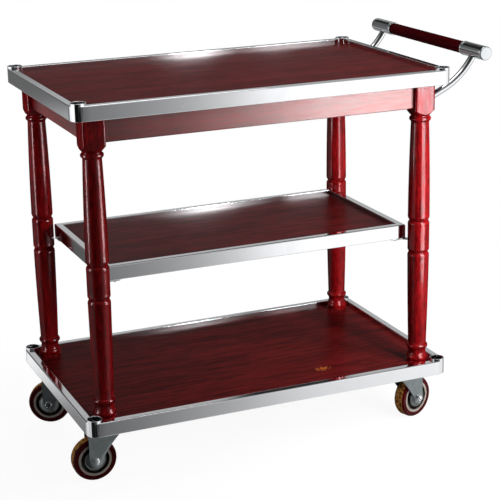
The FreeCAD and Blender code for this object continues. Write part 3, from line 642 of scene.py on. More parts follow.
@dataclass(frozen=True)
class Hub(WheelFinish):
    """Cream moulded wheel centre, dusty, with painted shade inside its rim where the deep web lies in shadow.
    """

    tint: Colour = (0.58, 0.50, 0.44)
    dust: Colour = (0.30, 0.25, 0.22)
    # Painted shade: dark colour for the recess inside the rim.
    grease: Colour = (0.020, 0.014, 0.011)
    rough: float = 0.32
    dirt: float = 0.3
    level: float = 0.25
    rim: float = 0.0325
    rim_span: Span = (-0.0012, 0.0010)
    # Ragged border of the painted shade.
    smear: Pattern = Pattern(120.0, 3.0, 0.6)
    smear_reach: float = 0.0016
    mottle: Pattern = Pattern(40.0, 4.0, 0.6)
    grit: Pattern = Pattern(650.0, 3.0, 0.6)
    mottle_span: Span = (0.42, 0.8)
    mottle_rough: float = 0.15
    grit_span: Span = (0.62, 0.8)
    grit_share: float = 0.3
    grit_dark: float = 0.5
    relief: Span = (0.00003, 0.35)

    def write(self, tree: Tree) -> None:
        """Painted shade inside the rim with a ragged border, slight mottling, dust and a fine moulded
        texture.

        Args:
            tree: The finish's tree.
        """
        reach = self.reach(tree) + tree.noise(self.smear) * self.smear_reach - self.smear_reach / 2
        unshaded = reach.rise(self.rim + self.rim_span[0], self.rim + self.rim_span[1])
        mottle, grit = tree.noise(self.mottle), tree.noise(self.grit)
        # Painted shade: everything inside the rim takes the dark colour, as if in shadow.
        colour = tree.blend(unshaded, self.grease, self.tint)
        colour = tree.blend(mottle.rise(*self.mottle_span) * self.dirt, colour, self.dust)
        colour = tree.blend(grit.rise(*self.grit_span) * self.grit_share, colour,
                            dimmed(self.dust, self.grit_dark))
        tree.surface({
            "Base Color": colour, "Roughness": self.rough + mottle * self.mottle_rough,
            "Specular IOR Level": self.level,
            "Normal": tree.bump(grit, *self.relief),
        })


@dataclass(frozen=True)
class Hardwood(Finish):
    """Sealed plain hardwood of the hidden battens and blocks."""

    grain: Grain = Grain.ALONG_Y
    light: Colour = (0.42, 0.235, 0.12)
    dark: Colour = (0.22, 0.105, 0.045)
    figure: Pattern = Pattern(70.0, 6.0, 0.65, 1.4)
    lines: Pattern = Pattern(420.0, 4.0, 0.7)
    rough: float = 0.5
    line_rough: float = 0.15
    figure_share: float = 0.7
    figure_span: Span = (0.35, 0.7)
    pore_span: Span = (0.62, 0.75)
    pore_share: float = 0.6
    pore_dark: float = 0.5
    relief: Span = (0.00012, 0.5)

    def write(self, tree: Tree) -> None:
        """Straight figure with open pores.

        Args:
            tree: The finish's tree.
        """
        figure = tree.noise(self.figure.along(self.grain.value))
        lines = tree.noise(self.lines.along(self.grain.value))
        share = (figure * self.figure_share + lines * (1.0 - self.figure_share)).rise(*self.figure_span)
        colour = tree.blend(share, self.dark, self.light)
        pores = lines.rise(*self.pore_span) * self.pore_share
        colour = tree.blend(pores, colour, dimmed(self.dark, self.pore_dark))
        tree.surface({
            "Base Color": colour, "Roughness": self.rough + lines * self.line_rough,
            "Normal": tree.bump(lines, *self.relief),
        })


class Outline:
    """Open chain of (radius, height) points, with arcs drawn through three points."""

    def __init__(self, radius: float, height: float) -> None:
        """Start at a point."""
        self.points: list[Point2] = [(radius, height)]

    @property
    def radius(self) -> float:
        """Radius of the last point."""
        return self.points[-1][0]

    @property
    def height(self) -> float:
        """Height of the last point."""
        return self.points[-1][1]

    def line(self, radius: float, height: float, steps: int = 1) -> "Outline":
        """Straight run to a point.

        Args:
            radius: Radius of its end.
            height: Height of its end.
            steps: Pieces that the run is divided into.

        Returns:
            The same chain, for the next run.
        """
        r0, h0 = self.points[-1]
        for i in range(1, steps + 1):
            self.points.append((r0 + (radius - r0) * i / steps, h0 + (height - h0) * i / steps))
        return self

    def arc(self, through: Point2, end: Point2, steps: int) -> "Outline":
        """Circular run through one point to another.

        Args:
            through: A point between the ends.
            end: Last point.
            steps: Pieces that the arc is divided into.

        Returns:
            The same chain, for the next run.
        """
        (ax, ay), (bx, by), (cx, cy) = self.points[-1], through, end
        aa, bb, cc = ax * ax + ay * ay, bx * bx + by * by, cx * cx + cy * cy
        double_area = 2 * (ax * (by - cy) + bx * (cy - ay) + cx * (ay - by))
        ux = (aa * (by - cy) + bb * (cy - ay) + cc * (ay - by)) / double_area
        uy = (aa * (cx - bx) + bb * (ax - cx) + cc * (bx - ax)) / double_area
        radius = math.hypot(ax - ux, ay - uy)
        first, middle, last = (math.atan2(y - uy, x - ux) for x, y in ((ax, ay), (bx, by), (cx, cy)))
        turn = (last - first) % math.tau
        if (middle - first) % math.tau > turn:
            turn -= math.tau
        for i in range(1, steps + 1):
            angle = first + turn * i / steps
            self.points.append((ux + radius * math.cos(angle), uy + radius * math.sin(angle)))
        return self

    def bulge(self, middle: float, end: float, height: float, steps: int) -> "Outline":
        """Arc upwards, with one radius half way up and another at its end."""
        return self.arc((middle, self.height + height / 2), (end, self.height + height), steps)

    def quarter(self, corner: Point2, end: Point2, steps: int) -> "Outline":
        """Quarter round from the last point to another.

        Args:
            corner: The sharp corner that the round takes off.
            end: Last point of the round.
            steps: Pieces that it is divided into.

        Returns:
            The same chain, for the next run.
        """
        through = tuple(c + (a + b - 2 * c) * ROUND_SHARE for a, b, c in zip(self.points[-1], end, corner))
        return self.arc(through, end, steps)

    def mirror(self, steps: int = 1) -> "Outline":
        """Go on with the same chain upside down, after a straight run.

        Args:
            steps: Pieces that the straight run is divided into.

        Returns:
            The same chain, now twice as long.
        """
        first, *rest = [(radius, -height) for radius, height in reversed(self.points)]
        self.line(*first, steps)
        self.points.extend(rest)
        return self

    def soften(self, radius: float, turn_over: float = 0.5, steps: int = 3,
               side_share: float = 0.45) -> list[Point2]:
        """Round the chain's corners.

        Args:
            radius: Reach of a rounding along each side.
            turn_over: Turn in radians from which a corner counts.
            steps: Pieces of each rounding.
            side_share: The most that a rounding takes of a side.

        Returns:
            The points, with each such corner replaced by a small curve.
        """
        kept = [self.points[0]]
        for before, here, after in zip(self.points, self.points[1:], self.points[2:]):
            spot = Vector(here)
            back, ahead = Vector(before) - spot, Vector(after) - spot
            reach = min(radius, back.length * side_share, ahead.length * side_share)
            if math.pi - back.angle(ahead, math.pi) < turn_over:
                kept.append(here)
                continue
            start = spot + back.normalized() * reach
            end = spot + ahead.normalized() * reach
            for i in range(steps + 1):
                t = i / steps
                kept.append(tuple(start * (1 - t) ** 2 + spot * 2 * t * (1 - t) + end * t ** 2))
        return kept + [self.points[-1]]


def bent(before: Point2, here: Point2, after: Point2, turn_over: float) -> bool:
    """Whether a chain turns by more than an angle at a point."""
    back, ahead = Vector(here) - Vector(before), Vector(after) - Vector(here)
    return back.angle(ahead, 0.0) > turn_over


def held(points: Sequence[Point2], margin: float = 0.0005, long_run: float = 0.0025,
         turn_over: float = 0.12) -> list[Point2]:
    """Hold long runs straight under smooth shading.

    Args:
        points: Chain of points.
        margin: Distance of an added point from a bend.
        long_run: Length from which a run counts.
        turn_over: Turn in radians from which a point counts as a bend.

    Returns:
        The points, with one more close to each bent end of a long run.
    """
    found = [points[0]]
    for i, (here, there) in enumerate(zip(points, points[1:])):
        run = Vector(there) - Vector(here)
        if run.length > long_run:
            step = run.normalized() * margin
            if i > 0 and bent(points[i - 1], here, there, turn_over):
                found.append(tuple(Vector(here) + step))
            if i + 2 < len(points) and bent(here, there, points[i + 2], turn_over):
                found.append(tuple(Vector(there) - step))
        found.append(there)
    return found


def circle(steps: int) -> list[float]:
    """Angles evenly round a full turn."""
    return [math.tau * i / steps for i in range(steps)]


def ring_row(place: Matrix, angles: Sequence[float], radii: Sequence[float],
             heights: Sequence[float]) -> list[Vector]:
    """Points round a placement's Z axis, each with its own radius and height."""
    return [place @ Vector((r * math.cos(a), r * math.sin(a), z)) for a, r, z in zip(angles, radii, heights)]


@dataclass
class Draft:
    """Points and faces of one piece, gathered before it becomes an object."""

    points: list[Vector] = field(default_factory=list)
    faces: list[tuple[int, ...]] = field(default_factory=list)

    def grid(self, rows: Sequence[Sequence[Vector]], ring: bool = True) -> None:
        """Skin over rows of points.

        Args:
            rows: Rows with the same number of points.
            ring: Whether each row closes on itself.
        """
        base = len(self.points)
        count = len(rows[0])
        for row in rows:
            self.points.extend(row)
        for i in range(len(rows) - 1):
            a = base + i * count
            b = a + count
            for j in range(count if ring else count - 1):
                k = (j + 1) % count
                self.faces.append((a + j, a + k, b + k, b + j))

    def lid(self, row: Sequence[Vector], outward: bool = True) -> None:
        """Flat face over one row of points.

        Args:
            row: The face's corners.
            outward: Whether the face looks the way that the row's own order gives.
        """
        base = len(self.points)
        self.points.extend(row)
        order = range(len(row)) if outward else reversed(range(len(row)))
        self.faces.append(tuple(base + i for i in order))

    def turned(self, outline: Sequence[Point2], place: Matrix, steps: int) -> None:
        """Lathe skin about the local Z axis of a placement.

        Args:
            outline: Points as (radius, height).
            place: The placement.
            steps: Faces round the skin.
        """
        angles = circle(steps)
        self.grid([ring_row(place, angles, [radius] * steps, [height] * steps)
                   for radius, height in held(outline)])

    def hexagon(self, across: float, height: float, chamfer: float, place: Matrix) -> None:
        """Hexagonal head with a turned chamfer on its top.

        Args:
            across: Size across its flats.
            height: Height over the placement.
            chamfer: Drop of the top at the hexagon's corners.
            place: The placement that it stands on.
        """
        angles = circle(HEX_STEPS)
        inscribed, corner = across / 2, across / math.sqrt(3)
        sides = [inscribed / math.cos((a % (math.tau / 6)) - math.tau / 12) for a in angles]
        tops = [height - chamfer * (side - inscribed) / (corner - inscribed) for side in sides]
        count = len(angles)
        rows = [ring_row(place, angles, sides, [0.0] * count), ring_row(place, angles, sides, tops)]
        for share in HEX_TOP_SHARES:
            rows.append(ring_row(place, angles, [inscribed * share] * count, [height] * count))
        self.grid(rows)
        self.lid(rows[-1])

    def sweep(self, path: Sequence[Vector], radius: float, steps: int = 28) -> None:
        """Round bar along a path that lies in one upright plane.

        Args:
            path: Points along the bar's middle.
            radius: Radius of the bar.
            steps: Faces round the bar.
        """
        normal = (path[1] - path[0]).cross(path[-1] - path[-2]).normalized()
        rows = []
        for i, spot in enumerate(path):
            ahead = path[min(i + 1, len(path) - 1)] - path[max(i - 1, 0)]
            side = normal.cross(ahead.normalized())
            rows.append([spot + (side * math.cos(a) + normal * math.sin(a)) * radius for a in circle(steps)])
        self.grid(rows)

    def object(self, name: str, crease: float = 0.6) -> bpy.types.Object:
        """Turn the draft into an object with smooth faces.

        Args:
            name: Name of the object and its mesh.
            crease: Angle in radians from which the edge between two faces stays sharp.

        Returns:
            The object, in the scene.
        """
        mesh = bpy.data.meshes.new(name)
        mesh.from_pydata([tuple(p) for p in self.points], [], self.faces)
        mesh.validate()
        mesh.shade_smooth()
        mesh.set_sharp_from_angle(angle=crease)
        shape = bpy.data.objects.new(name, mesh)
        bpy.context.scene.collection.objects.link(shape)
        return shape


def ease_edges(shape: bpy.types.Object, width: float, over: float) -> None:
    """Weld a shape's seams and bevel its edges.

    Args:
        shape: The piece.
        width: Width of the bevel.
        over: Turn in degrees from which an edge is bevelled.
    """
    weld = shape.modifiers.new("weld", "WELD")
    weld.merge_threshold = WELD_REACH
    bevel = shape.modifiers.new("soft_edges", "BEVEL")
    bevel.width = width
    bevel.segments = BEVEL_SEGMENTS
    bevel.limit_method = "ANGLE"
    bevel.angle_limit = math.radians(over)


def settle(shape: bpy.types.Object, finish: Finish, body: str, node: str) -> None:
    """Dress a piece, set it on its body and let it stand for a CAD node.

    Args:
        shape: The new piece.
        finish: Its finish.
        body: CAD body that it rides on.
        node: CAD node that it replaces.
    """
    shape.data.materials.append(finish.build())
    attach(shape, body)
    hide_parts(node)
    LOG.info("%s: %d faces, stands for %s", shape.name, len(shape.data.polygons), node)


def dress(frame: dict[str, Any], node: str, finish: Finish, edge: float = 0.0) -> None:
    """Give a CAD node that stays its finish.

    Args:
        frame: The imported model.
        node: Name of the node.
        finish: Its finish.
        edge: Width of the bevel on its edges, or 0 for none.
    """
    shape = frame["nodes"][node]
    material = finish.build()
    if shape.material_slots:
        for slot in shape.material_slots:
            slot.material = material
    else:
        shape.data.materials.append(material)
    if edge > 0:
        ease_edges(shape, edge, KEPT_EDGE_OVER)
    LOG.info("%s: kept from the frame, finished as %s", node, finish.name)


@dataclass
class TrayRails:
    """Rails and corner cups of one tray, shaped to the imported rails' outer faces.

    The section is the folded one: outer face, flat top, inner lip, and the edges rounded. Near a rounded
    corner the rails dip in a little, to meet the corner's wall.
    """

    tier: str
    mitred: bool
    finish: Finish
    cup_finish: Finish
    top_width: float = 0.0165
    wall: float = 0.0015
    nose: float = 0.0024
    foot_soft: float = 0.0012
    foot_return: float = 0.0120
    lip_soft: float = 0.0011
    lip_drop: float = 0.0100
    mitre_gap: float = 0.00012
    end_length: float = 0.0365
    cup_radius: float = 0.0168
    cup_wall: float = 0.0021
    cup_inset: float = 0.0187
    cup_floor: float = 0.0020
    cup_gap: float = 0.00015
    cup_soft: float = 0.0008
    cup_steps: int = 72
    corner_reach: float = 0.0220
    corner_return: float = 0.0023
    corner_fold: Span = (0.0004, 0.0008)
    fold_drop: float = 0.0001
    end_dip: float = 0.0005
    dip_reach: float = 0.0340
    dip_angle: float = math.radians(5)
    end_steps: int = 5
    corner_steps: int = 24
    rail_crease: float = 0.5

    def __post_init__(self) -> None:
        """Read the tray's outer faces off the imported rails."""
        west, east, south, north = (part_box(f"{self.tier}_rail_{side}")
                                    for side in ("left", "right", "front", "back"))
        self.low = Vector((west[0].x, south[0].y, south[0].z))
        self.high = Vector((east[1].x, north[1].y, south[1].z))
        self.centre = (self.low + self.high) / 2
        self.half = (self.high - self.low) / 2
        self.height = self.high.z - self.low.z

    def outer_face(self, foot_width: float) -> Outline:
        """First half of a section, as (inward, up) points.

        Args:
            foot_width: How far the foot reaches in.

        Returns:
            The foot, the outer face and the round nose at its top.
        """
        soft, nose, top = self.foot_soft, self.nose, self.height
        chain = Outline(foot_width, 0.0).line(soft, 0.0).quarter((0.0, 0.0), (0.0, soft), 4)
        return chain.line(0.0, top - nose).quarter((0.0, top), (nose, top), 6)

    def section(self) -> list[Point2]:
        """Section of a rail.

        Returns:
            Closed chain of (inward, up) points, from the foot round the outer face and back under the lip.
        """
        top, width, wall, soft = self.height, self.top_width, self.wall, self.lip_soft
        under, lip = top - self.nose, top - self.lip_drop
        chain = self.outer_face(self.foot_return).line(width - soft, top)
        chain.quarter((width, top), (width, top - soft), 5).line(width, lip).line(width - wall, lip)
        chain.line(width - wall, under).line(wall, under).line(wall, wall).line(self.foot_return, wall)
        return held(chain.points)

    def ends(self, inward: float, half_length: float) -> float:
        """Where a rail ends, cut to a mitre or to clear the cup.

        Args:
            inward: Distance in from the outer face.
            half_length: Half length of the tray along the rail.

        Returns:
            Half length of the rail at that distance.
        """
        if self.mitred:
            return half_length - inward - self.mitre_gap
        reach = self.cup_radius + self.cup_gap
        aside = abs(inward - self.cup_inset)
        cut = self.cup_inset + math.sqrt(reach * reach - aside * aside) if aside < reach else 0.0
        return half_length - max(self.corner_reach + self.mitre_gap, cut)

    def dip(self, from_end: float) -> float:
        """How far the rail's section moves in, at a distance from the tray's end."""
        share = max(0.0, self.dip_reach - from_end) / (self.dip_reach - self.corner_reach)
        return 0.0 if self.mitred else self.end_dip * share * share

    def rail(self, side: Side) -> None:
        """One rail, swept between its two shaped ends.

        Args:
            side: Which side of the tray.
        """
        long_side = side in (Side.FRONT, Side.BACK)
        half_length, half_across = (self.half.x, self.half.y) if long_side else (self.half.y, self.half.x)
        turn = Matrix.Rotation(QUARTER * side.value, 4, "Z")
        place = Matrix.Translation((self.centre.x, self.centre.y, self.low.z)) @ turn
        inner = half_length - self.end_length
        steps = 1 if self.mitred else self.end_steps
        shares = [step / steps for step in range(steps + 1)]
        rows = []
        for sign, share in [(-1, t) for t in reversed(shares)] + [(1, t) for t in shares]:
            row = []
            for inward, up in self.section():
                along = inner + (self.ends(inward, half_length) - inner) * share
                across = inward - half_across + self.dip(half_length - along)
                row.append(place @ Vector((sign * along, across, up)))
            rows.append(row)
        draft = Draft()
        draft.grid(rows)
        draft.lid(rows[0])
        draft.lid(rows[-1], False)
        node = f"{self.tier}_rail_{side.name.lower()}"
        settle(draft.object(f"{node}_folded", self.rail_crease), self.finish, "cart", node)

    def corner_wall(self, draft: Draft, corner: Corner) -> None:
        """Rounded wall between two rails' outer faces, folded over at the top as they are.

        Args:
            draft: Draft of the corner pieces.
            corner: Which corner.
        """
        sx, sy = corner.value
        spot = Vector((self.centre.x + sx * self.half.x, self.centre.y + sy * self.half.y, self.low.z))
        place = Matrix.Translation(spot) @ Matrix.Rotation(QUARTER * corner.quarter, 4, "Z")
        start, end = self.dip_angle, QUARTER - self.dip_angle
        radius = (self.corner_reach - self.end_dip) / (math.sin(end) - math.cos(end))
        middle = self.corner_reach + radius * math.cos(end)
        top, wall = self.height, self.wall
        rows = []
        for step in range(self.corner_steps + 1):
            share = step / self.corner_steps
            angle = start + (end - start) * share
            fold = self.nose - self.corner_fold[0] + self.corner_fold[1] * abs(2 * share - 1)
            chain = self.outer_face(self.corner_return).line(fold, top - self.fold_drop)
            chain.line(wall, top - self.nose).line(wall, wall).line(self.corner_return, wall)
            rows.append([place @ Vector(((radius - inward) * math.cos(angle) - middle,
                                         (radius - inward) * math.sin(angle) - middle, up))
                         for inward, up in held(chain.points)])
        draft.grid(rows)
        draft.lid(rows[0])
        draft.lid(rows[-1], False)

    def cups(self) -> None:
        """Four corner pieces: a rounded wall, and a cup with a rolled rim and a floor."""
        node = f"{self.tier}_corner_cups"
        low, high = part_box(node)
        rise = high.z - low.z
        outer, inner = self.cup_radius, self.cup_radius - self.cup_wall
        rim = rise - self.cup_wall / 2
        chain = Outline(0.0, 0.0).line(outer, 0.0).line(outer, rim, 3)
        chain.arc(((outer + inner) / 2, rise), (inner, rim), 8)
        chain.line(inner, self.cup_floor, 3).line(0.0, self.cup_floor)
        draft = Draft()
        for corner in Corner:
            sx, sy = corner.value
            spot = Vector((self.centre.x + sx * (self.half.x - self.cup_inset),
                           self.centre.y + sy * (self.half.y - self.cup_inset), low.z))
            draft.turned(chain.soften(self.cup_soft), Matrix.Translation(spot), self.cup_steps)
            self.corner_wall(draft, corner)
        settle(draft.object(f"{node}_drawn"), self.cup_finish, "cart", node)

    def build(self) -> None:
        """All rails, and the cups where the tray has them."""
        for side in Side:
            self.rail(side)
        if not self.mitred:
            self.cups()


@dataclass
class TurnedLeg:
    """One leg: a lathe profile that runs into a square block with arched faces.

    A turning's two sizes are its radius and its height.
    """

    corner: Corner
    finish: Finish
    stock: float = 0.0500
    stock_edge: float = 0.0050
    flange: Point2 = (0.0246, 0.0030)
    base_bead: Point2 = (0.0249, 0.0150)
    base_neck: float = 0.0220
    cove: Point2 = (0.0203, 0.0155)
    ring: Point2 = (0.0248, 0.0115)
    ring_neck: float = 0.0212
    lower_shaft: Point2 = (0.0210, 0.2140)
    lower_swell: float = 0.0005
    band: Point2 = (0.0249, 0.0550)
    groove: float = 0.0207
    shoulders: tuple[float, float, float, float] = (0.0110, 0.0100, 0.0100, 0.0130)
    shoulder_share: float = 0.62
    upper_shaft: Point2 = (0.0207, 0.2140)
    upper_swell: float = 0.0009
    collar: Point2 = (0.0213, 0.0060)
    bead: Point2 = (0.0248, 0.0110)
    neck: Point2 = (0.0206, 0.0015)
    arris_soft: float = 0.0006
    face_rise: float = 0.0050
    corner_rise: float = 0.0155
    block_rows: tuple[float, ...] = (0.03, 0.5, 1.0)
    flat_steps: int = 10
    edge_steps: int = 8
    arch_steps: int = 8
    shoulder_steps: int = 60
    crease: float = 0.55

    def turned_outline(self, foot: float) -> list[Point2]:
        """Profile from the foot to the neck under the block.

        Args:
            foot: Height of the leg's foot.

        Returns:
            Points as (radius, height).
        """
        flange_top = foot + self.flange[1]
        chain = Outline(0.0, foot).line(self.flange[0], foot)
        chain.line(self.flange[0], flange_top).line(self.base_neck, flange_top)
        chain.bulge(self.base_bead[0], self.base_neck, self.base_bead[1], 16)
        chain.bulge(self.cove[0], self.ring_neck, self.cove[1], 12)
        chain.bulge(self.ring[0], self.ring_neck, self.ring[1], 14)
        chain.line(self.lower_shaft[0], chain.height)
        self.shaft(chain, self.lower_shaft[1], self.band[0], self.lower_swell)
        self.groove_sides(chain, *self.shoulders[:2])
        chain.line(self.band[0], chain.height + self.band[1], 6)
        self.groove_sides(chain, *self.shoulders[2:])
        self.shaft(chain, self.upper_shaft[1], self.upper_shaft[0], self.upper_swell)
        chain.bulge(self.upper_shaft[0], self.collar[0], self.collar[1], 6)
        chain.bulge(self.bead[0], self.neck[0], self.bead[1], 14)
        chain.line(self.neck[0], chain.height + self.neck[1])
        return chain.soften(self.arris_soft, 0.7, 2)

    @staticmethod
    def shaft(chain: Outline, height: float, end: float, swell: float) -> None:
        """Long taper to a radius, which swells a little at its middle."""
        chain.bulge((chain.radius + end) / 2 + swell, end, height, 20)

    def groove_sides(self, chain: Outline, falling: float, rising: float) -> None:
        """V groove between two rounded shoulders.

        Args:
            chain: The profile so far.
            falling: Height of the shoulder below the groove.
            rising: Height of the shoulder above it.
        """
        share = self.shoulder_share
        middle = self.groove + (self.band[0] - self.groove) * math.sqrt(share)
        chain.arc((middle, chain.height + falling * share), (self.groove, chain.height + falling), 9)
        chain.arc((middle, chain.height + rising * (1 - share)), (self.band[0], chain.height + rising), 9)

    def angles(self) -> list[float]:
        """Directions round the leg.

        Returns:
            Angles, closer together across the block's rounded edges.
        """
        flat_end = math.atan2(self.stock / 2 - self.stock_edge, self.stock / 2)
        runs = ((0.0, flat_end, self.flat_steps), (flat_end, QUARTER - 2 * flat_end, self.edge_steps),
                (QUARTER - flat_end, flat_end, self.flat_steps))
        return [QUARTER * quarter + start + width * i / steps
                for quarter in range(4) for start, width, steps in runs for i in range(steps)]

    def square_radius(self, angle: float) -> float:
        """Size of the rounded square stock in a direction.

        Args:
            angle: Direction round the leg.

        Returns:
            Distance from the axis to the stock's side.
        """
        half = self.stock / 2
        across = abs(((angle + math.tau / 8) % QUARTER) - math.tau / 8)
        if math.tan(across) * half <= half - self.stock_edge:
            return half / math.cos(across)
        centre = Vector((half - self.stock_edge, half - self.stock_edge))
        middle = Vector((math.cos(across), math.sin(across))).dot(centre)
        return middle + math.sqrt(middle * middle - centre.length_squared + self.stock_edge ** 2)

    def shoulder_height(self, radius: float) -> float:
        """Form of the turned shoulder, which gives the block's faces their arches.

        Args:
            radius: Distance from the axis.

        Returns:
            Height above the neck.
        """
        half = self.stock / 2
        corner = (half * math.sqrt(2), self.corner_rise)
        points = Outline(self.neck[0], 0.0).arc((half, self.face_rise), corner, self.shoulder_steps).points
        for (r0, h0), (r1, h1) in zip(points, points[1:]):
            if r0 <= radius <= r1:
                return h0 + (h1 - h0) * (radius - r0) / (r1 - r0)
        return self.corner_rise

    def build(self) -> bpy.types.Object:
        """Skin of the turned part, the arched shoulder and the block.

        Returns:
            The leg.
        """
        node = f"leg_{self.corner.label}"
        low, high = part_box(node)
        axis = (low + high) / 2
        place = Matrix.Translation((axis.x, axis.y, 0.0))
        outline = self.turned_outline(low.z)
        neck_z = outline[-1][1]
        angles = self.angles()
        count = len(angles)
        rows = [ring_row(place, angles, [radius] * count, [z] * count) for radius, z in outline]
        sides = [self.square_radius(a) for a in angles]
        for step in range(1, self.arch_steps + 1):
            radii = [self.neck[0] + (side - self.neck[0]) * step / self.arch_steps for side in sides]
            rows.append(ring_row(place, angles, radii, [neck_z + self.shoulder_height(r) for r in radii]))
        arris = [neck_z + self.shoulder_height(side) for side in sides]
        for share in self.block_rows:
            rows.append(ring_row(place, angles, sides, [z + (high.z - z) * share for z in arris]))
        draft = Draft()
        draft.grid(rows)
        draft.lid(rows[-1])
        leg = draft.object(f"{node}_turned", self.crease)
        settle(leg, self.finish, "cart", node)
        return leg


@dataclass
class PushHandle:
    """Wooden grip, two chromed sleeves with collar rings, and two bent tubes."""

    grip_finish: Finish
    sleeve_finish: Finish
    tube_finish: Finish
    grip_radius: float = 0.0140
    grip_ease: float = 0.0012
    grip_soft: float = 0.0008
    sleeve_radius: float = 0.0159
    sleeve_soft: float = 0.0024
    sleeve_gap: float = 0.0002
    groove_soft: float = 0.0006
    bore_step: float = 0.0015
    ring_radius: float = 0.0164
    ring_crown: float = 0.0005
    ring_width: float = 0.0065
    groove_radius: float = 0.0149
    groove_width: float = 0.0024
    spigot: float = 0.0280
    tube_radius: float = 0.0080
    tube_starts: Span = (0.0040, 0.0080)
    top_angle: float = math.radians(30)
    foot_angle: float = math.radians(25)
    straight: float = 0.0120
    half_block: float = 0.0250
    seat_drop: float = 0.0480
    seat_depth: float = 0.0140
    turned_steps: int = 72
    bend_steps: int = 24
    tube_crease: float = 0.9

    def __post_init__(self) -> None:
        """Read the grip's axis and the sleeves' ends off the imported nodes."""
        low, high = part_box("handle_grip")
        self.axis = (low + high) / 2
        self.half_grip = (high.y - low.y) / 2 - self.spigot
        self.half_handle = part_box("handle_sleeve_back")[1].y

    def across(self, spot: Vector, sign: int = 1) -> Matrix:
        """Placement whose Z runs along +Y or -Y."""
        return Matrix.Translation(spot) @ Matrix.Rotation(-sign * QUARTER, 4, "X")

    def grip(self) -> None:
        """Turned grip with eased ends."""
        half, radius, ease = self.half_grip, self.grip_radius, self.grip_ease
        chain = Outline(0.0, -half).line(radius - ease, -half).line(radius, ease - half).mirror(24)
        draft = Draft()
        draft.turned(chain.soften(self.grip_soft), self.across(self.axis), self.turned_steps)
        settle(draft.object("handle_grip_turned"), self.grip_finish, "cart", "handle_grip")

    def sleeve(self, side: Side, sign: int) -> None:
        """Drawn sleeve with its collar ring, groove and closed end.

        Args:
            side: Front or back.
            sign: Sign of Y on that side.
        """
        start, end = self.half_grip + self.sleeve_gap, self.half_handle
        radius, soft, crown = self.sleeve_radius, self.sleeve_soft, self.ring_radius - self.ring_crown
        groove_end = start + self.ring_width + self.groove_width
        chain = Outline(self.grip_radius - self.bore_step, start).line(crown, start)
        chain.bulge(self.ring_radius, crown, self.ring_width, 8).line(self.groove_radius, chain.height)
        chain.line(self.groove_radius, groove_end).line(radius, groove_end)
        chain.line(radius, end - soft, 6).quarter((radius, end), (radius - soft, end), 8).line(0.0, end)
        draft = Draft()
        place = self.across(Vector((self.axis.x, 0.0, self.axis.z)), sign)
        draft.turned(chain.soften(self.groove_soft), place, self.turned_steps)
        node = f"handle_sleeve_{side.name.lower()}"
        settle(draft.object(f"{node}_drawn"), self.sleeve_finish, "cart", node)

    def tube(self, side: Side) -> None:
        """Tube that leaves the sleeve steeply, bends and enters the leg block.

        Args:
            side: Front or back.
        """
        leg_low, leg_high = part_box(f"leg_{side.name.lower()}_right")
        leg = (leg_low + leg_high) / 2
        head = Vector((self.axis.x, leg.y, self.axis.z))
        seat = Vector((leg.x + self.half_block, leg.y, leg_high.z - self.seat_drop))
        down = Vector((-math.sin(self.top_angle), 0.0, -math.cos(self.top_angle)))
        inward = Vector((-math.cos(self.foot_angle), 0.0, -math.sin(self.foot_angle)))
        gap = seat - head
        run = (gap.x * inward.z - gap.z * inward.x) / (down.x * inward.z - down.z * inward.x)
        knee = head + down * run
        tangent = min(run, (seat - knee).length) - self.straight
        turn = QUARTER - self.top_angle - self.foot_angle
        bend = tangent / math.tan(turn / 2)
        centre = knee + (inward - down).normalized() * (bend / math.cos(turn / 2))
        start, end = knee - down * tangent, knee + inward * tangent
        path = [head + down * reach for reach in self.tube_starts]
        for i in range(self.bend_steps + 1):
            spoke = (start - centre).slerp(end - centre, i / self.bend_steps).normalized()
            path.append(centre + spoke * bend)
        path.extend([seat, seat + inward * self.seat_depth])
        draft = Draft()
        draft.sweep(path, self.tube_radius)
        node = f"handle_tube_{side.name.lower()}"
        tube = draft.object(f"{node}_bent", self.tube_crease)
        settle(tube, self.tube_finish, "cart", node)

    def build(self) -> None:
        """Every piece of the handle."""
        self.grip()
        for side, sign in ((Side.FRONT, -1), (Side.BACK, 1)):
            self.sleeve(side, sign)
            self.tube(side)


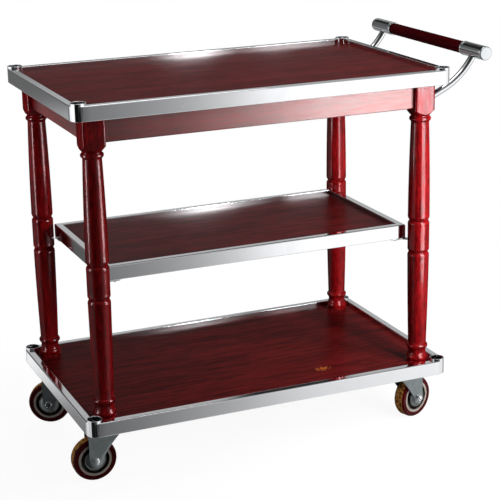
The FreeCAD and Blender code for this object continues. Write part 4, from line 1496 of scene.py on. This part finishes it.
@dataclass
class Caster:
    """One swivel caster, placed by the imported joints' axes."""

    corner: Corner
    swivel: Vector
    axle: Vector
    steel: Finish
    fastener: Finish
    guard_finish: Finish
    wheel_radius: float = 0.0500
    half_width: float = 0.0150
    flat_half: float = 0.0080
    shoulder_drop: float = 0.0026
    crown_share: float = 0.25
    side_soft: float = 0.0020
    bead_line: tuple[float, float, float] = (0.0018, 0.0024, 0.0004)
    hub_radius: float = 0.0385
    hub_bore: float = 0.0062
    hub_draft: float = 0.0006
    hub_soft: float = 0.0012
    rim_wall: float = 0.0070
    rim_half: float = 0.0140
    web_half: float = 0.0030
    boss_radius: float = 0.0165
    boss_draft: float = 0.0010
    boss_half: float = 0.0166
    guard_radius: float = 0.0240
    guard_flat: float = 0.0155
    guard_dish: float = 0.0030
    guard_sheet: float = 0.0014
    guard_gap: float = 0.0015
    guard_soft: float = 0.0008
    guard_rim: tuple[Point2, Point2, Point2] = ((0.0022, 0.0013), (0.0010, 0.0021), (0.0, 0.0012))
    bolt_hole: float = 0.0043
    sheet: float = 0.0025
    fork_inner: float = 0.0188
    bend: float = 0.0045
    crown_front: float = 0.0240
    fork_top: float = 0.1098
    eye: float = 0.0140
    waist_back: float = 0.0025
    waist_share: float = 0.47
    least_leg: float = 0.0001
    stamped_edge: float = 0.0005
    stamped_over: float = 50.0
    leg_steps: int = 18
    eye_steps: int = 24
    waist_steps: int = 80
    spacer_radius: float = 0.0060
    spacer_gap: float = 0.0016
    washer: Point2 = (0.0082, 0.0010)
    washer_soft: float = 0.0003
    bolt_radius: float = 0.0040
    bolt_ease: float = 0.0008
    bolt_lap: float = 0.0005
    hex_across: float = 0.0130
    hex_chamfer: float = 0.0008
    head_height: float = 0.0053
    nut_height: float = 0.0065
    bolt_end: float = 0.0030
    plate_thick: float = 0.0030
    plate_round: float = 0.0080
    plate_ease: Span = (0.992, 0.0005)
    round_steps: int = 8
    crown_gap: float = 0.0004
    pin_radius: float = 0.0060
    race_foot: float = 0.0228
    race_side: tuple[Point2, Point2] = ((0.0240, 0.0030), (0.0232, 0.0056))
    race_shoulder: Point2 = (0.0205, 0.0075)
    race_flare: tuple[Point2, Point2, Point2] = ((0.0190, 0.0020), (0.0198, 0.0007), (0.0214, 0.0))
    race_soft: float = 0.0005
    rivet_radius: float = 0.0095
    rivet_crown: tuple[Point2, Point2] = ((0.0080, 0.0026), (0.0050, 0.0032))
    tyre_steps: int = 120
    hub_steps: int = 96
    guard_steps: int = 72
    bolt_steps: int = 32
    washer_steps: int = 40
    race_steps: int = 64
    rivet_steps: int = 40
    crease: float = 0.5

    def __post_init__(self) -> None:
        """Work out the placement on the swivel axis, with X towards the wheel."""
        trail = self.axle - self.swivel
        self.trail = math.hypot(trail.x, trail.y)
        self.square = Matrix.Translation((self.swivel.x, self.swivel.y, 0.0))
        self.local = self.square @ Matrix.Rotation(math.atan2(trail.y, trail.x), 4, "Z")
        hub = self.local @ Matrix.Translation((self.trail, 0.0, self.wheel_radius))
        self.wheel = hub @ Matrix.Rotation(-QUARTER, 4, "X")
        self.flipped = hub @ Matrix.Rotation(QUARTER, 4, "X")
        self.wheel_axis = (self.wheel.to_3x3() @ Vector((0.0, 0.0, 1.0))).normalized()
        self.name = f"caster_{self.corner.label}"

    def tyre(self) -> None:
        """Crowned tyre with rounded shoulders and a moulded bead line on each side."""
        edge = self.wheel_radius - self.shoulder_drop
        soft, half, flat = self.side_soft, self.half_width, self.flat_half
        crown = (self.wheel_radius - self.shoulder_drop * self.crown_share, -(flat + half - soft) / 2)
        inner, outer, proud = self.bead_line
        chain = Outline(self.hub_radius, -half).line(self.hub_radius + inner, -half)
        chain.line(self.hub_radius + outer, proud - half).line(edge - soft, -half)
        chain.quarter((edge, -half), (edge, soft - half), 6).arc(crown, (self.wheel_radius, -flat), 6)
        chain.mirror(3).line(self.hub_radius, -half)
        draft = Draft()
        draft.turned(chain.points, self.wheel, self.tyre_steps)
        finish = Tyre(f"{self.name}_tyre_finish", tuple(self.wheel.translation), tuple(self.wheel_axis),
                      self.wheel_radius)
        node = f"{self.name}_tyre"
        tyre = draft.object(f"{node}_moulded", self.crease)
        settle(tyre, finish, f"{self.name}_wheel", node)

    def hub(self) -> None:
        """Wheel centre with its rim, web and boss."""
        rim, web, boss = self.hub_radius - self.rim_wall, self.web_half, self.boss_radius
        chain = Outline(self.hub_bore, -self.boss_half).line(boss - self.boss_draft, -self.boss_half)
        chain.line(boss, -web).line(rim - self.hub_draft, -web).line(rim, -self.rim_half)
        chain.line(self.hub_radius, -self.rim_half).mirror()
        draft = Draft()
        draft.turned(chain.soften(self.hub_soft, steps=4), self.wheel, self.hub_steps)
        finish = Hub(f"{self.name}_hub_finish", tuple(self.wheel.translation), tuple(self.wheel_axis))
        node = f"{self.name}_hub"
        settle(draft.object(f"{node}_moulded"), finish, f"{self.name}_wheel", node)

    def guards(self) -> None:
        """Dished covers, each with a raised rim, one at either side."""
        near = self.fork_inner - self.guard_gap
        dish, radius = near - self.guard_dish, self.guard_radius
        foot, crest, end = ((radius - inset, dish + rise) for inset, rise in self.guard_rim)
        outer = near + self.guard_sheet
        chain = Outline(self.bolt_hole, outer).line(self.guard_flat, outer).line(*foot).arc(crest, end, 6)
        chain.line(radius, dish).line(self.guard_flat, near).line(self.bolt_hole, near)
        draft = Draft()
        for place in (self.wheel, self.flipped):
            draft.turned(chain.soften(self.guard_soft), place, self.guard_steps)
        node = f"{self.name}_guards"
        settle(draft.object(f"{node}_pressed"), self.guard_finish, f"{self.name}_swivel", node)

    def bolt(self) -> None:
        """Axle bolt head, washers, nut and the bolt's end, with the spacer between the fork's legs."""
        outer = self.fork_inner + self.sheet
        spacer_end = self.spacer_gap - self.fork_inner
        draft = Draft()
        spacer = Outline(self.bolt_hole, spacer_end).line(self.spacer_radius, spacer_end).mirror()
        draft.turned(spacer.points, self.wheel, self.bolt_steps)
        radius, (width, thick) = self.bolt_radius, self.washer
        washer = Outline(radius, 0.0).line(width, 0.0).line(width, thick).line(radius, thick)
        for place, height in ((self.wheel, self.head_height), (self.flipped, self.nut_height)):
            seat = place @ Matrix.Translation((0.0, 0.0, outer))
            draft.turned(washer.soften(self.washer_soft), seat, self.washer_steps)
            draft.hexagon(self.hex_across, height, self.hex_chamfer, seat)
        tip = self.flipped @ Matrix.Translation((0.0, 0.0, outer + self.nut_height))
        end, ease = self.bolt_end, self.bolt_ease
        thread = Outline(radius, -self.bolt_lap).line(radius, end - ease).line(radius - ease, end)
        draft.turned(thread.line(0.0, end).points, tip, self.bolt_steps)
        node = f"{self.name}_axle"
        settle(draft.object(f"{node}_fitted"), self.fastener, f"{self.name}_swivel", node)

    def leg_bottom(self, along: float) -> float:
        """Lower edge of the fork: a round eye at the axle and a waisted front.

        Args:
            along: Place along the trail, from the swivel axis.

        Returns:
            Height of the edge.
        """
        start = self.trail - self.eye
        if along >= start:
            aside = min(abs(along - self.trail), self.eye)
            return self.wheel_radius - math.sqrt(self.eye ** 2 - aside ** 2)
        top = self.fork_top - self.bend
        front = -self.crown_front
        waist_x = front + (start - front) * (1 - self.waist_share) + self.waist_back
        waist_z = self.wheel_radius + (top - self.wheel_radius) * self.waist_share
        edge = Outline(start, self.wheel_radius).arc((waist_x, waist_z), (front, top), self.waist_steps)
        curve = edge.points
        for (x0, z0), (x1, z1) in zip(curve, curve[1:]):
            if x1 <= along <= x0:
                return z0 + (z1 - z0) * (x0 - along) / max(x0 - x1, LEAST_RUN)
        return top

    def channel(self, half: float, bend: float, top: float, bottom: float) -> list[Point2]:
        """Section of the fork across the wheel, from one lower edge to the other.

        Args:
            half: Half width.
            bend: Radius of its two bends.
            top: Height of its top.
            bottom: Height of its lower edges.

        Returns:
            Points as (across, up).
        """
        bottom = min(bottom, top - bend - self.least_leg)
        chain = Outline(-half, bottom).line(-half, top - bend, 4)
        chain.quarter((-half, top), (bend - half, top), 6).line(half - bend, top, 4)
        return chain.quarter((half, top), (half, top - bend), 6).line(half, bottom, 4).points

    def fork(self) -> None:
        """Stamped fork as two skins, an outer and an inner, joined along all edges."""
        start, eye_start = -self.crown_front, self.trail - self.eye
        places = [start + (eye_start - start) * i / self.leg_steps for i in range(self.leg_steps)]
        places.extend(self.trail - self.eye * math.cos(math.pi * i / self.eye_steps)
                      for i in range(self.eye_steps + 1))
        outer_rows, inner_rows = [], []
        for along in places:
            bottom = self.leg_bottom(min(along, self.trail + self.eye))
            for rows, drop in ((outer_rows, 0.0), (inner_rows, self.sheet)):
                section = self.channel(self.fork_inner + self.sheet - drop, self.bend - drop,
                                       self.fork_top - drop, bottom)
                rows.append([self.local @ Vector((along, y, z)) for y, z in section])
        draft = Draft()
        draft.grid([list(reversed(row)) for row in outer_rows], ring=False)
        draft.grid(inner_rows, ring=False)
        for k in (0, -1):
            draft.grid([outer_rows[k], inner_rows[k]], ring=False)
            draft.grid([[row[k] for row in outer_rows], [row[k] for row in inner_rows]], ring=False)
        shape = draft.object(f"{self.name}_fork_stamped", self.crease)
        ease_edges(shape, self.stamped_edge, self.stamped_over)
        settle(shape, self.steel, f"{self.name}_swivel", f"{self.name}_fork")

    def plate_skin(self, draft: Draft, half_x: float, half_y: float, top: float) -> None:
        """Flat plate with rounded corners and an eased lower edge.

        Args:
            draft: Draft of the plate's pieces.
            half_x: Half its length.
            half_y: Half its width.
            top: Height of its upper face.
        """
        corners = []
        for corner in sorted(Corner, key=lambda item: item.quarter):
            sx, sy = corner.value
            for i in range(self.round_steps + 1):
                angle = QUARTER * (corner.quarter + i / self.round_steps)
                corners.append((sx * (half_x - self.plate_round) + self.plate_round * math.cos(angle),
                                sy * (half_y - self.plate_round) + self.plate_round * math.sin(angle)))
        low = top - self.plate_thick
        eased, rise = self.plate_ease
        rows = [[self.square @ Vector((x * share, y * share, z)) for x, y in corners]
                for share, z in ((eased, low), (1.0, low + rise), (1.0, top))]
        draft.grid(rows)
        draft.lid(rows[0], False)
        draft.lid(rows[-1])

    def plate(self) -> None:
        """Mounting plate, the swivel race under it and the kingpin's head inside the fork."""
        node = f"{self.name}_plate"
        low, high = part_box(node)
        draft = Draft()
        self.plate_skin(draft, (high.x - low.x) / 2, (high.y - low.y) / 2, high.z)
        under, foot = high.z - self.plate_thick, self.fork_top + self.crown_gap
        sides = (*self.race_side, self.race_shoulder)
        crest, side, shoulder = ((radius, foot + rise) for radius, rise in sides)
        waist, flare, rim = ((radius, under - drop) for radius, drop in self.race_flare)
        race = Outline(self.pin_radius, foot).line(self.race_foot, foot).arc(crest, side, 8)
        race.line(*shoulder).line(*waist).arc(flare, rim, 4)
        draft.turned(race.soften(self.race_soft), self.square, self.race_steps)
        crown = self.fork_top - self.sheet
        neck = crown - self.crown_gap
        dome, tip = ((radius, crown - drop) for radius, drop in self.rivet_crown)
        rivet = Outline(self.pin_radius, foot).line(self.pin_radius, neck).line(self.rivet_radius, neck)
        rivet.arc(dome, tip, 6).line(0.0, tip[1])
        draft.turned(rivet.points, self.square, self.rivet_steps)
        settle(draft.object(f"{node}_pressed", self.crease), self.steel, "cart", node)

    def build(self) -> None:
        """Every piece of the caster."""
        for piece in (self.plate, self.fork, self.guards, self.bolt, self.hub, self.tyre):
            piece()


@dataclass(frozen=True)
class SoftBox:
    """Rectangular lamp that faces a target. The spread of its light is in degrees."""

    name: str
    spot: Point3
    target: Point3
    size: Point2
    watts: float
    spread: float = 180.0

    def build(self) -> bpy.types.Object:
        """Place the lamp out of the camera's sight.

        Returns:
            The lamp's object.
        """
        lamp = bpy.data.lights.new(self.name, "AREA")
        lamp.shape = "RECTANGLE"
        lamp.size, lamp.size_y = self.size
        lamp.energy = self.watts
        lamp.spread = math.radians(self.spread)
        holder = bpy.data.objects.new(self.name, lamp)
        holder.location = self.spot
        holder.rotation_euler = (Vector(self.target) - Vector(self.spot)).to_track_quat("-Z", "Y").to_euler()
        holder.visible_camera = False
        bpy.context.scene.collection.objects.link(holder)
        return holder


def wearing(finish: str) -> list[bpy.types.Object]:
    """Meshes of the scene whose finish has a word in its name."""
    return [shape for shape in bpy.context.scene.objects
            if shape.type == "MESH" and any(finish in slot.name for slot in shape.data.materials)]


@dataclass
class Studio:
    """Camera at the photograph's viewing angle, soft boxes, a white surround and a pale floor.

    What gloss sees of the surround is rings of cards, below, far below and above the horizon. A ring lists
    (turn, brightness), where the turn is the compass direction from 0 to 1. The left floor lists (fall,
    brightness) for one sector. A sector's two edges are soft, and a rise is the height of the direction.
    """

    camera_offset: Point3 = (-1.2745, -3.1277, 1.4510)
    yaw: float = 0.4016
    pitch: float = -0.2941
    roll: float = -0.0196
    focal_px: float = 1503.08
    frame_px: float = 500.0
    sensor: float = 36.0
    camera_reach: float = 60.0
    fill: float = 0.03
    fill_tint: Colour = (0.95, 0.97, 1.0)
    top_level: float = 2.0
    sky: float = 0.50
    sky_sector: tuple[Span, Span] = ((0.60, 0.64), (0.72, 0.76))
    sky_rise: Span = (0.168, 0.185)
    dark_top: float = 0.85
    dark_rise: Span = (0.39, 0.46)
    slot_dark: float = 0.97
    slot_sector: tuple[Span, Span] = ((0.6750, 0.6765), (0.6870, 0.6895))
    slot_rise: Span = (0.325, 0.345)
    zenith: float = 0.45
    zenith_rise: Span = (0.62, 0.80)
    steep_fall: Span = (0.27, 0.38)
    left_sector: tuple[Span, Span] = ((0.765, 0.778), (0.806, 0.818))
    horizon: Span = (-0.04, 0.06)
    low_ring: tuple[Point2, ...] = (
        (0.0, 1.3), (0.045, 1.3), (0.065, 0.004), (0.205, 0.006), (0.245, 0.13), (0.2969, 0.20),
        (0.3051, 0.37), (0.3091, 0.52), (0.3130, 0.80), (0.3175, 1.35), (0.36, 1.5), (0.46, 1.0),
        (0.52, 0.40), (0.66, 0.20), (0.835, 0.16), (0.86, 1.0), (0.93, 1.3), (1.0, 1.3))
    steep_ring: tuple[Point2, ...] = (
        (0.0, 0.75), (0.045, 0.70), (0.065, 0.01), (0.205, 0.01), (0.245, 0.11), (0.2969, 0.15),
        (0.3051, 0.29), (0.3130, 0.48), (0.3205, 0.82), (0.3347, 1.04), (0.46, 0.9), (0.52, 0.4),
        (0.66, 0.35), (0.82, 0.4), (0.85, 0.8), (1.0, 0.6))
    high_ring: tuple[Point2, ...] = (
        (0.0, 0.80), (0.045, 0.8), (0.065, 0.05), (0.26, 0.06), (0.32, 0.9), (0.42, 0.9),
        (0.50, 0.40), (0.62, 0.50), (0.650, 0.30), (0.658, 0.05), (0.672, 0.04), (0.676, 0.30),
        (0.690, 0.24), (0.705, 0.15), (0.73, 0.14), (0.835, 0.14), (0.86, 0.75), (1.0, 0.80))
    left_floor: tuple[Point2, ...] = (
        (0.0, 0.14), (0.184, 0.14), (0.190, 0.17), (0.194, 0.24), (0.199, 0.42), (0.225, 0.36),
        (0.265, 0.11), (0.305, 0.11), (0.348, 1.06), (0.357, 0.97), (0.363, 0.83), (0.368, 0.65),
        (0.3746, 0.46), (0.381, 0.32), (0.3875, 0.23), (0.41, 0.20), (1.0, 0.25))
    floor_glow: float = 0.93
    floor_matte: Colour = (0.16, 0.16, 0.16)
    floor_plain: Colour = (0.42, 0.42, 0.42)
    floor_fade: Span = (1.0, 1.9)
    floor_reach: float = 2.2
    floor_drop: float = 0.0004
    floor_steps: int = 48
    near_lamps: tuple[SoftBox, ...] = (
        SoftBox("key_right", (0.80, -0.92, 0.95), (0.10, 0.0, 0.50), (0.26, 0.9), 6.5),
        SoftBox("key_leg", (0.50, -1.15, 0.90), (0.36, -0.2, 0.55), (0.14, 0.8), 2.6, 80.0),
        SoftBox("strip_left", (-1.95, 0.05, 1.15), (0.0, 0.0, 0.95), (0.3, 1.1), 2.6, 80.0))
    top_lamp: SoftBox = SoftBox("top", (0.0, -0.2, 2.6), (0.0, 0.0, 0.4), (1.4, 0.9), 11.0)
    lacquer_cards: tuple[SoftBox, ...] = (
        SoftBox("card_right", (0.50, -0.78, 0.79), (-0.10, 0.10, 0.79), (0.44, 1.24), 42.0),
        SoftBox("card_left", (-1.60, -0.05, 0.80), (0.0, 0.0, 0.80), (0.26, 1.2), 22.0))
    back_lamp: SoftBox = SoftBox("back", (0.5, 1.9, 1.0), (0.0, 0.0, 0.5), (1.0, 1.3), 16.0)

    def camera(self, foot: Vector) -> None:
        """Place the camera.

        Args:
            foot: Point on the floor that its offset counts from.
        """
        cy, sy = math.cos(self.yaw), math.sin(self.yaw)
        cp, sp = math.cos(self.pitch), math.sin(self.pitch)
        cr, sr = math.cos(self.roll), math.sin(self.roll)
        ahead = Vector((sy * cp, cy * cp, sp))
        right = Vector((cy, -sy, 0.0))
        up = right.cross(ahead)
        data = bpy.data.cameras.new("camera")
        data.sensor_fit = "HORIZONTAL"
        data.sensor_width = self.sensor
        data.lens = self.focal_px / self.frame_px * self.sensor
        data.clip_end = self.camera_reach
        eye = bpy.data.objects.new("camera", data)
        turn = Matrix((right * cr + up * sr, up * cr - right * sr, -ahead)).transposed()
        eye.matrix_world = Matrix.Translation(foot + Vector(self.camera_offset)) @ turn.to_4x4()
        bpy.context.scene.collection.objects.link(eye)
        bpy.context.scene.camera = eye

    @staticmethod
    def link(name: str, state: str, lamps: Sequence[bpy.types.Object],
             shapes: Sequence[bpy.types.Object]) -> None:
        """Light some pieces only, or all but some.

        Args:
            name: Name of the group of pieces.
            state: INCLUDE or EXCLUDE.
            lamps: Lamps that keep to it.
            shapes: The pieces.
        """
        group = bpy.data.collections.new(name)
        for shape in shapes:
            group.objects.link(shape)
        for entry in group.collection_objects:
            entry.light_linking.link_state = state
        for lamp in lamps:
            lamp.light_linking.receiver_collection = group

    def gleam(self, lacquered: Sequence[bpy.types.Object]) -> None:
        """Bright cards that show in lacquer only, and lamps kept out of the chrome.

        The back rails keep the lamps, because they throw a glow on the panels.

        Args:
            lacquered: The pieces that show the cards.
        """
        cards = [card.build() for card in self.lacquer_cards]
        for card in cards:
            card.visible_diffuse = False
        self.link("lacquered", "INCLUDE", cards, lacquered)
        chromed = wearing("chrome")
        lamps = [bpy.context.scene.objects[lamp.name] for lamp in self.near_lamps]
        self.link("mirrors", "EXCLUDE", lamps, [shape for shape in chromed if "rail_back" not in shape.name])
        self.link("mirrors_and_panels", "EXCLUDE", [self.back_lamp.build()], chromed + wearing("laminate"))

    def surround(self) -> None:
        """White surround for the camera, rings of cards for gloss, and plain fill for the rest."""
        world = bpy.data.worlds.new("studio")
        bpy.context.scene.world = world
        tree = Tree(world)
        seen, gloss, through = tree.ray("Camera"), tree.ray("Glossy"), tree.ray("Transmission")
        shown = (seen + gloss + through).at_most(1.0)
        white = 1.0 - gloss * (1.0 - self.cards(tree))
        back = tree.add("ShaderNodeBackground", {}, {"Color": WHITE, "Strength": white})
        fill = tree.add("ShaderNodeBackground", {}, {"Color": (*self.fill_tint, 1.0), "Strength": self.fill})
        mixed = tree.add("ShaderNodeMixShader", {}, {0: shown, 1: fill, 2: back})
        tree.add("ShaderNodeOutputWorld", {}, {"Surface": mixed})

    def ring(self, tree: Tree, where: Wire, stops: Sequence[Point2]) -> Wire:
        """Brightness along a ring of cards.

        Args:
            tree: The surround's tree.
            where: Place on the ring, from 0 to 1.
            stops: Places and their brightness.

        Returns:
            The brightness there.
        """
        greys = [(place, (level / self.top_level,) * 3) for place, level in stops]
        return tree.add("ShaderNodeValToRGB", {"stops": greys}, {0: where}) * self.top_level

    def cards(self, tree: Tree) -> Wire:
        """How bright the cards round the object are, by compass direction and by the rise over the horizon.

        Args:
            tree: The surround's tree.

        Returns:
            The brightness in the direction that a ray goes.
        """
        toward = tree.add("ShaderNodeTexCoord", output="Generated")
        turns = tree.add("ShaderNodeTexGradient", {"gradient_type": "RADIAL"}, {0: toward}, 1)
        rise = tree.add("ShaderNodeSeparateXYZ", {}, {0: toward}, "Z")
        fall = -1.0 * rise
        low, steep, high = (self.ring(tree, turns, stops)
                            for stops in (self.low_ring, self.steep_ring, self.high_ring))

        def sector(start: Span, end: Span) -> Wire:
            """1 between the two soft edges of a sector."""
            return turns.rise(*start) * (1.0 - turns.rise(*end))

        sky = sector(*self.sky_sector) * rise.rise(*self.sky_rise)
        high = (high + (self.sky - high) * sky) * (1.0 - rise.rise(*self.dark_rise) * self.dark_top)
        slot = sector(*self.slot_sector) * rise.rise(*self.slot_rise)
        high = high * (1.0 - slot * self.slot_dark) + rise.rise(*self.zenith_rise) * self.zenith
        below = low + (steep - low) * fall.rise(*self.steep_fall)
        left = self.ring(tree, fall, self.left_floor)
        below = below + (left - below) * sector(*self.left_sector)
        return below + (high - below) * rise.rise(*self.horizon)

    def floor(self, foot: Vector) -> None:
        """Pale floor that keeps the object's shadow, fades into the surround and is clear from below.

        Args:
            foot: Middle of the floor.
        """
        paint = bpy.data.materials.new("studio_floor")
        tree = Tree(paint)
        span = tree.vector("LENGTH", tree.add("ShaderNodeTexCoord", output="Object"))
        glow = tree.add("ShaderNodeEmission", {}, {"Color": WHITE, "Strength": self.floor_glow})
        matte, plain = (tree.add("ShaderNodeBsdfDiffuse", {}, {"Color": (*colour, 1.0)})
                        for colour in (self.floor_matte, self.floor_plain))
        pale = tree.add("ShaderNodeAddShader", {}, {0: glow, 1: matte})
        both = tree.add("ShaderNodeMixShader", {}, {0: tree.ray("Camera"), 1: plain, 2: pale})
        clear = tree.add("ShaderNodeBsdfTransparent")
        below = tree.add("ShaderNodeNewGeometry", output="Backfacing")
        gone = (span.rise(*self.floor_fade) + tree.ray("Glossy") + below).at_most(1.0)
        mixed = tree.add("ShaderNodeMixShader", {}, {0: gone, 1: both, 2: clear})
        tree.add("ShaderNodeOutputMaterial", {}, {"Surface": mixed})
        draft = Draft()
        angles = circle(self.floor_steps)
        draft.lid(ring_row(Matrix.Identity(4), angles, [self.floor_reach] * len(angles), [0.0] * len(angles)))
        plane = draft.object("studio_floor")
        plane.location = (foot.x, foot.y, -self.floor_drop)
        plane.data.materials.append(paint)

    def build(self, foot: Vector) -> None:
        """Camera, floor, surround and lamps.

        Args:
            foot: Point on the floor under the middle of the trays.
        """
        self.camera(foot)
        self.floor(foot)
        self.surround()
        for lamp in (*self.near_lamps, self.top_lamp):
            lamp.build()
        bpy.context.scene.view_settings.view_transform = "Standard"


def dress_frame(frame: dict[str, Any]) -> None:
    """Finish the CAD nodes that stay as they are.

    Args:
        frame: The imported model.
    """
    short_apron = Lacquer("apron_lacquer_short", Grain.ALONG_Y, rough=0.26, level=0.4, mottle_length=0.05,
                          mottle=replace(Lacquer.mottle, scale=300.0), line_share=0.45,
                          lines=replace(Lacquer.lines, scale=420.0))
    long_apron = replace(short_apron, name="apron_lacquer_long", grain=Grain.ALONG_X, rough=0.34, level=0.16,
                         dark=(0.035, 0.0004, 0.0006), light=(0.185, 0.0050, 0.0060), glint=(1.0, 0.86, 0.84))
    battens = Hardwood("batten_hardwood", Grain.ALONG_Y)
    fasteners = Zinc("fastener_steel", tint=(0.5, 0.51, 0.52))
    chip = Chip((0.118, -0.167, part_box("bottom_panel")[1].z))
    for node, finish, edge in (
            ("top_panel", Laminate("laminate"), 0.0),
            ("middle_panel", Laminate("laminate_shelf", sheen=0.62), 0.0),
            ("bottom_panel", Laminate("laminate_chipped", chip=chip), 0.0),
            ("apron_front", long_apron, 0.0006),
            ("apron_back", long_apron, 0.0006),
            ("apron_left", short_apron, 0.0006),
            ("apron_right", short_apron, 0.0006),
            ("caster_batten_left", battens, 0.0008),
            ("caster_batten_right", battens, 0.0008),
            ("corner_blocks", Hardwood("block_hardwood", Grain.ALONG_X), 0.0008),
            ("shelf_brackets", Zinc("bracket_steel", tint=(0.42, 0.43, 0.45)), 0.0004),
            ("leg_bolts", fasteners, 0.0002),
            ("pan_head_screws", fasteners, 0.0002)):
        dress(frame, node, finish, edge)


def joint_places(frame: dict[str, Any]) -> dict[str, Vector]:
    """Axis point of every joint by name."""
    return {joint["name"]: Vector(joint["pos_m"]) for joint in frame["joints"]}


def main() -> None:
    """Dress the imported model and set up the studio."""
    logging.basicConfig(level=logging.INFO, format="%(name)s %(message)s")
    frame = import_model()
    rails = Chrome("rail_chrome_finish", rough=0.05)
    cups = Chrome("cup_chrome_finish", rough=0.05)
    trays = [TrayRails(tier, tier == "middle", rails, cups) for tier in ("top", "middle", "bottom")]
    studio = Studio()
    studio.build(Vector((trays[0].centre.x, 0.0, 0.0)))
    dress_frame(frame)
    for tray in trays:
        tray.build()
    legs = [TurnedLeg(corner, Lacquer("leg_lacquer")).build() for corner in Corner]
    grip = Lacquer("grip_lacquer", Grain.ALONG_Y, dark=(0.030, 0.0003, 0.0012), light=(0.075, 0.0012, 0.0036),
                   rough=0.16, gloss=0.007)
    sleeve = Chrome("sleeve_chrome_finish", tint=(0.60, 0.63, 0.64))
    PushHandle(grip, sleeve, Chrome("tube_chrome_finish")).build()
    places = joint_places(frame)
    axle, guard = Chrome("axle_steel", rough=0.20), Zinc("guard_steel", tint=(0.20, 0.215, 0.215))
    for corner in Corner:
        swivel, spin = places[f"{corner.label}_swivel"], places[f"{corner.label}_wheel_spin"]
        Caster(corner, swivel, spin, Zinc("fork_zinc"), axle, guard).build()
    studio.gleam([*legs, frame["nodes"]["apron_front"], frame["nodes"]["apron_left"]])


if __name__ == "__main__":
    main()
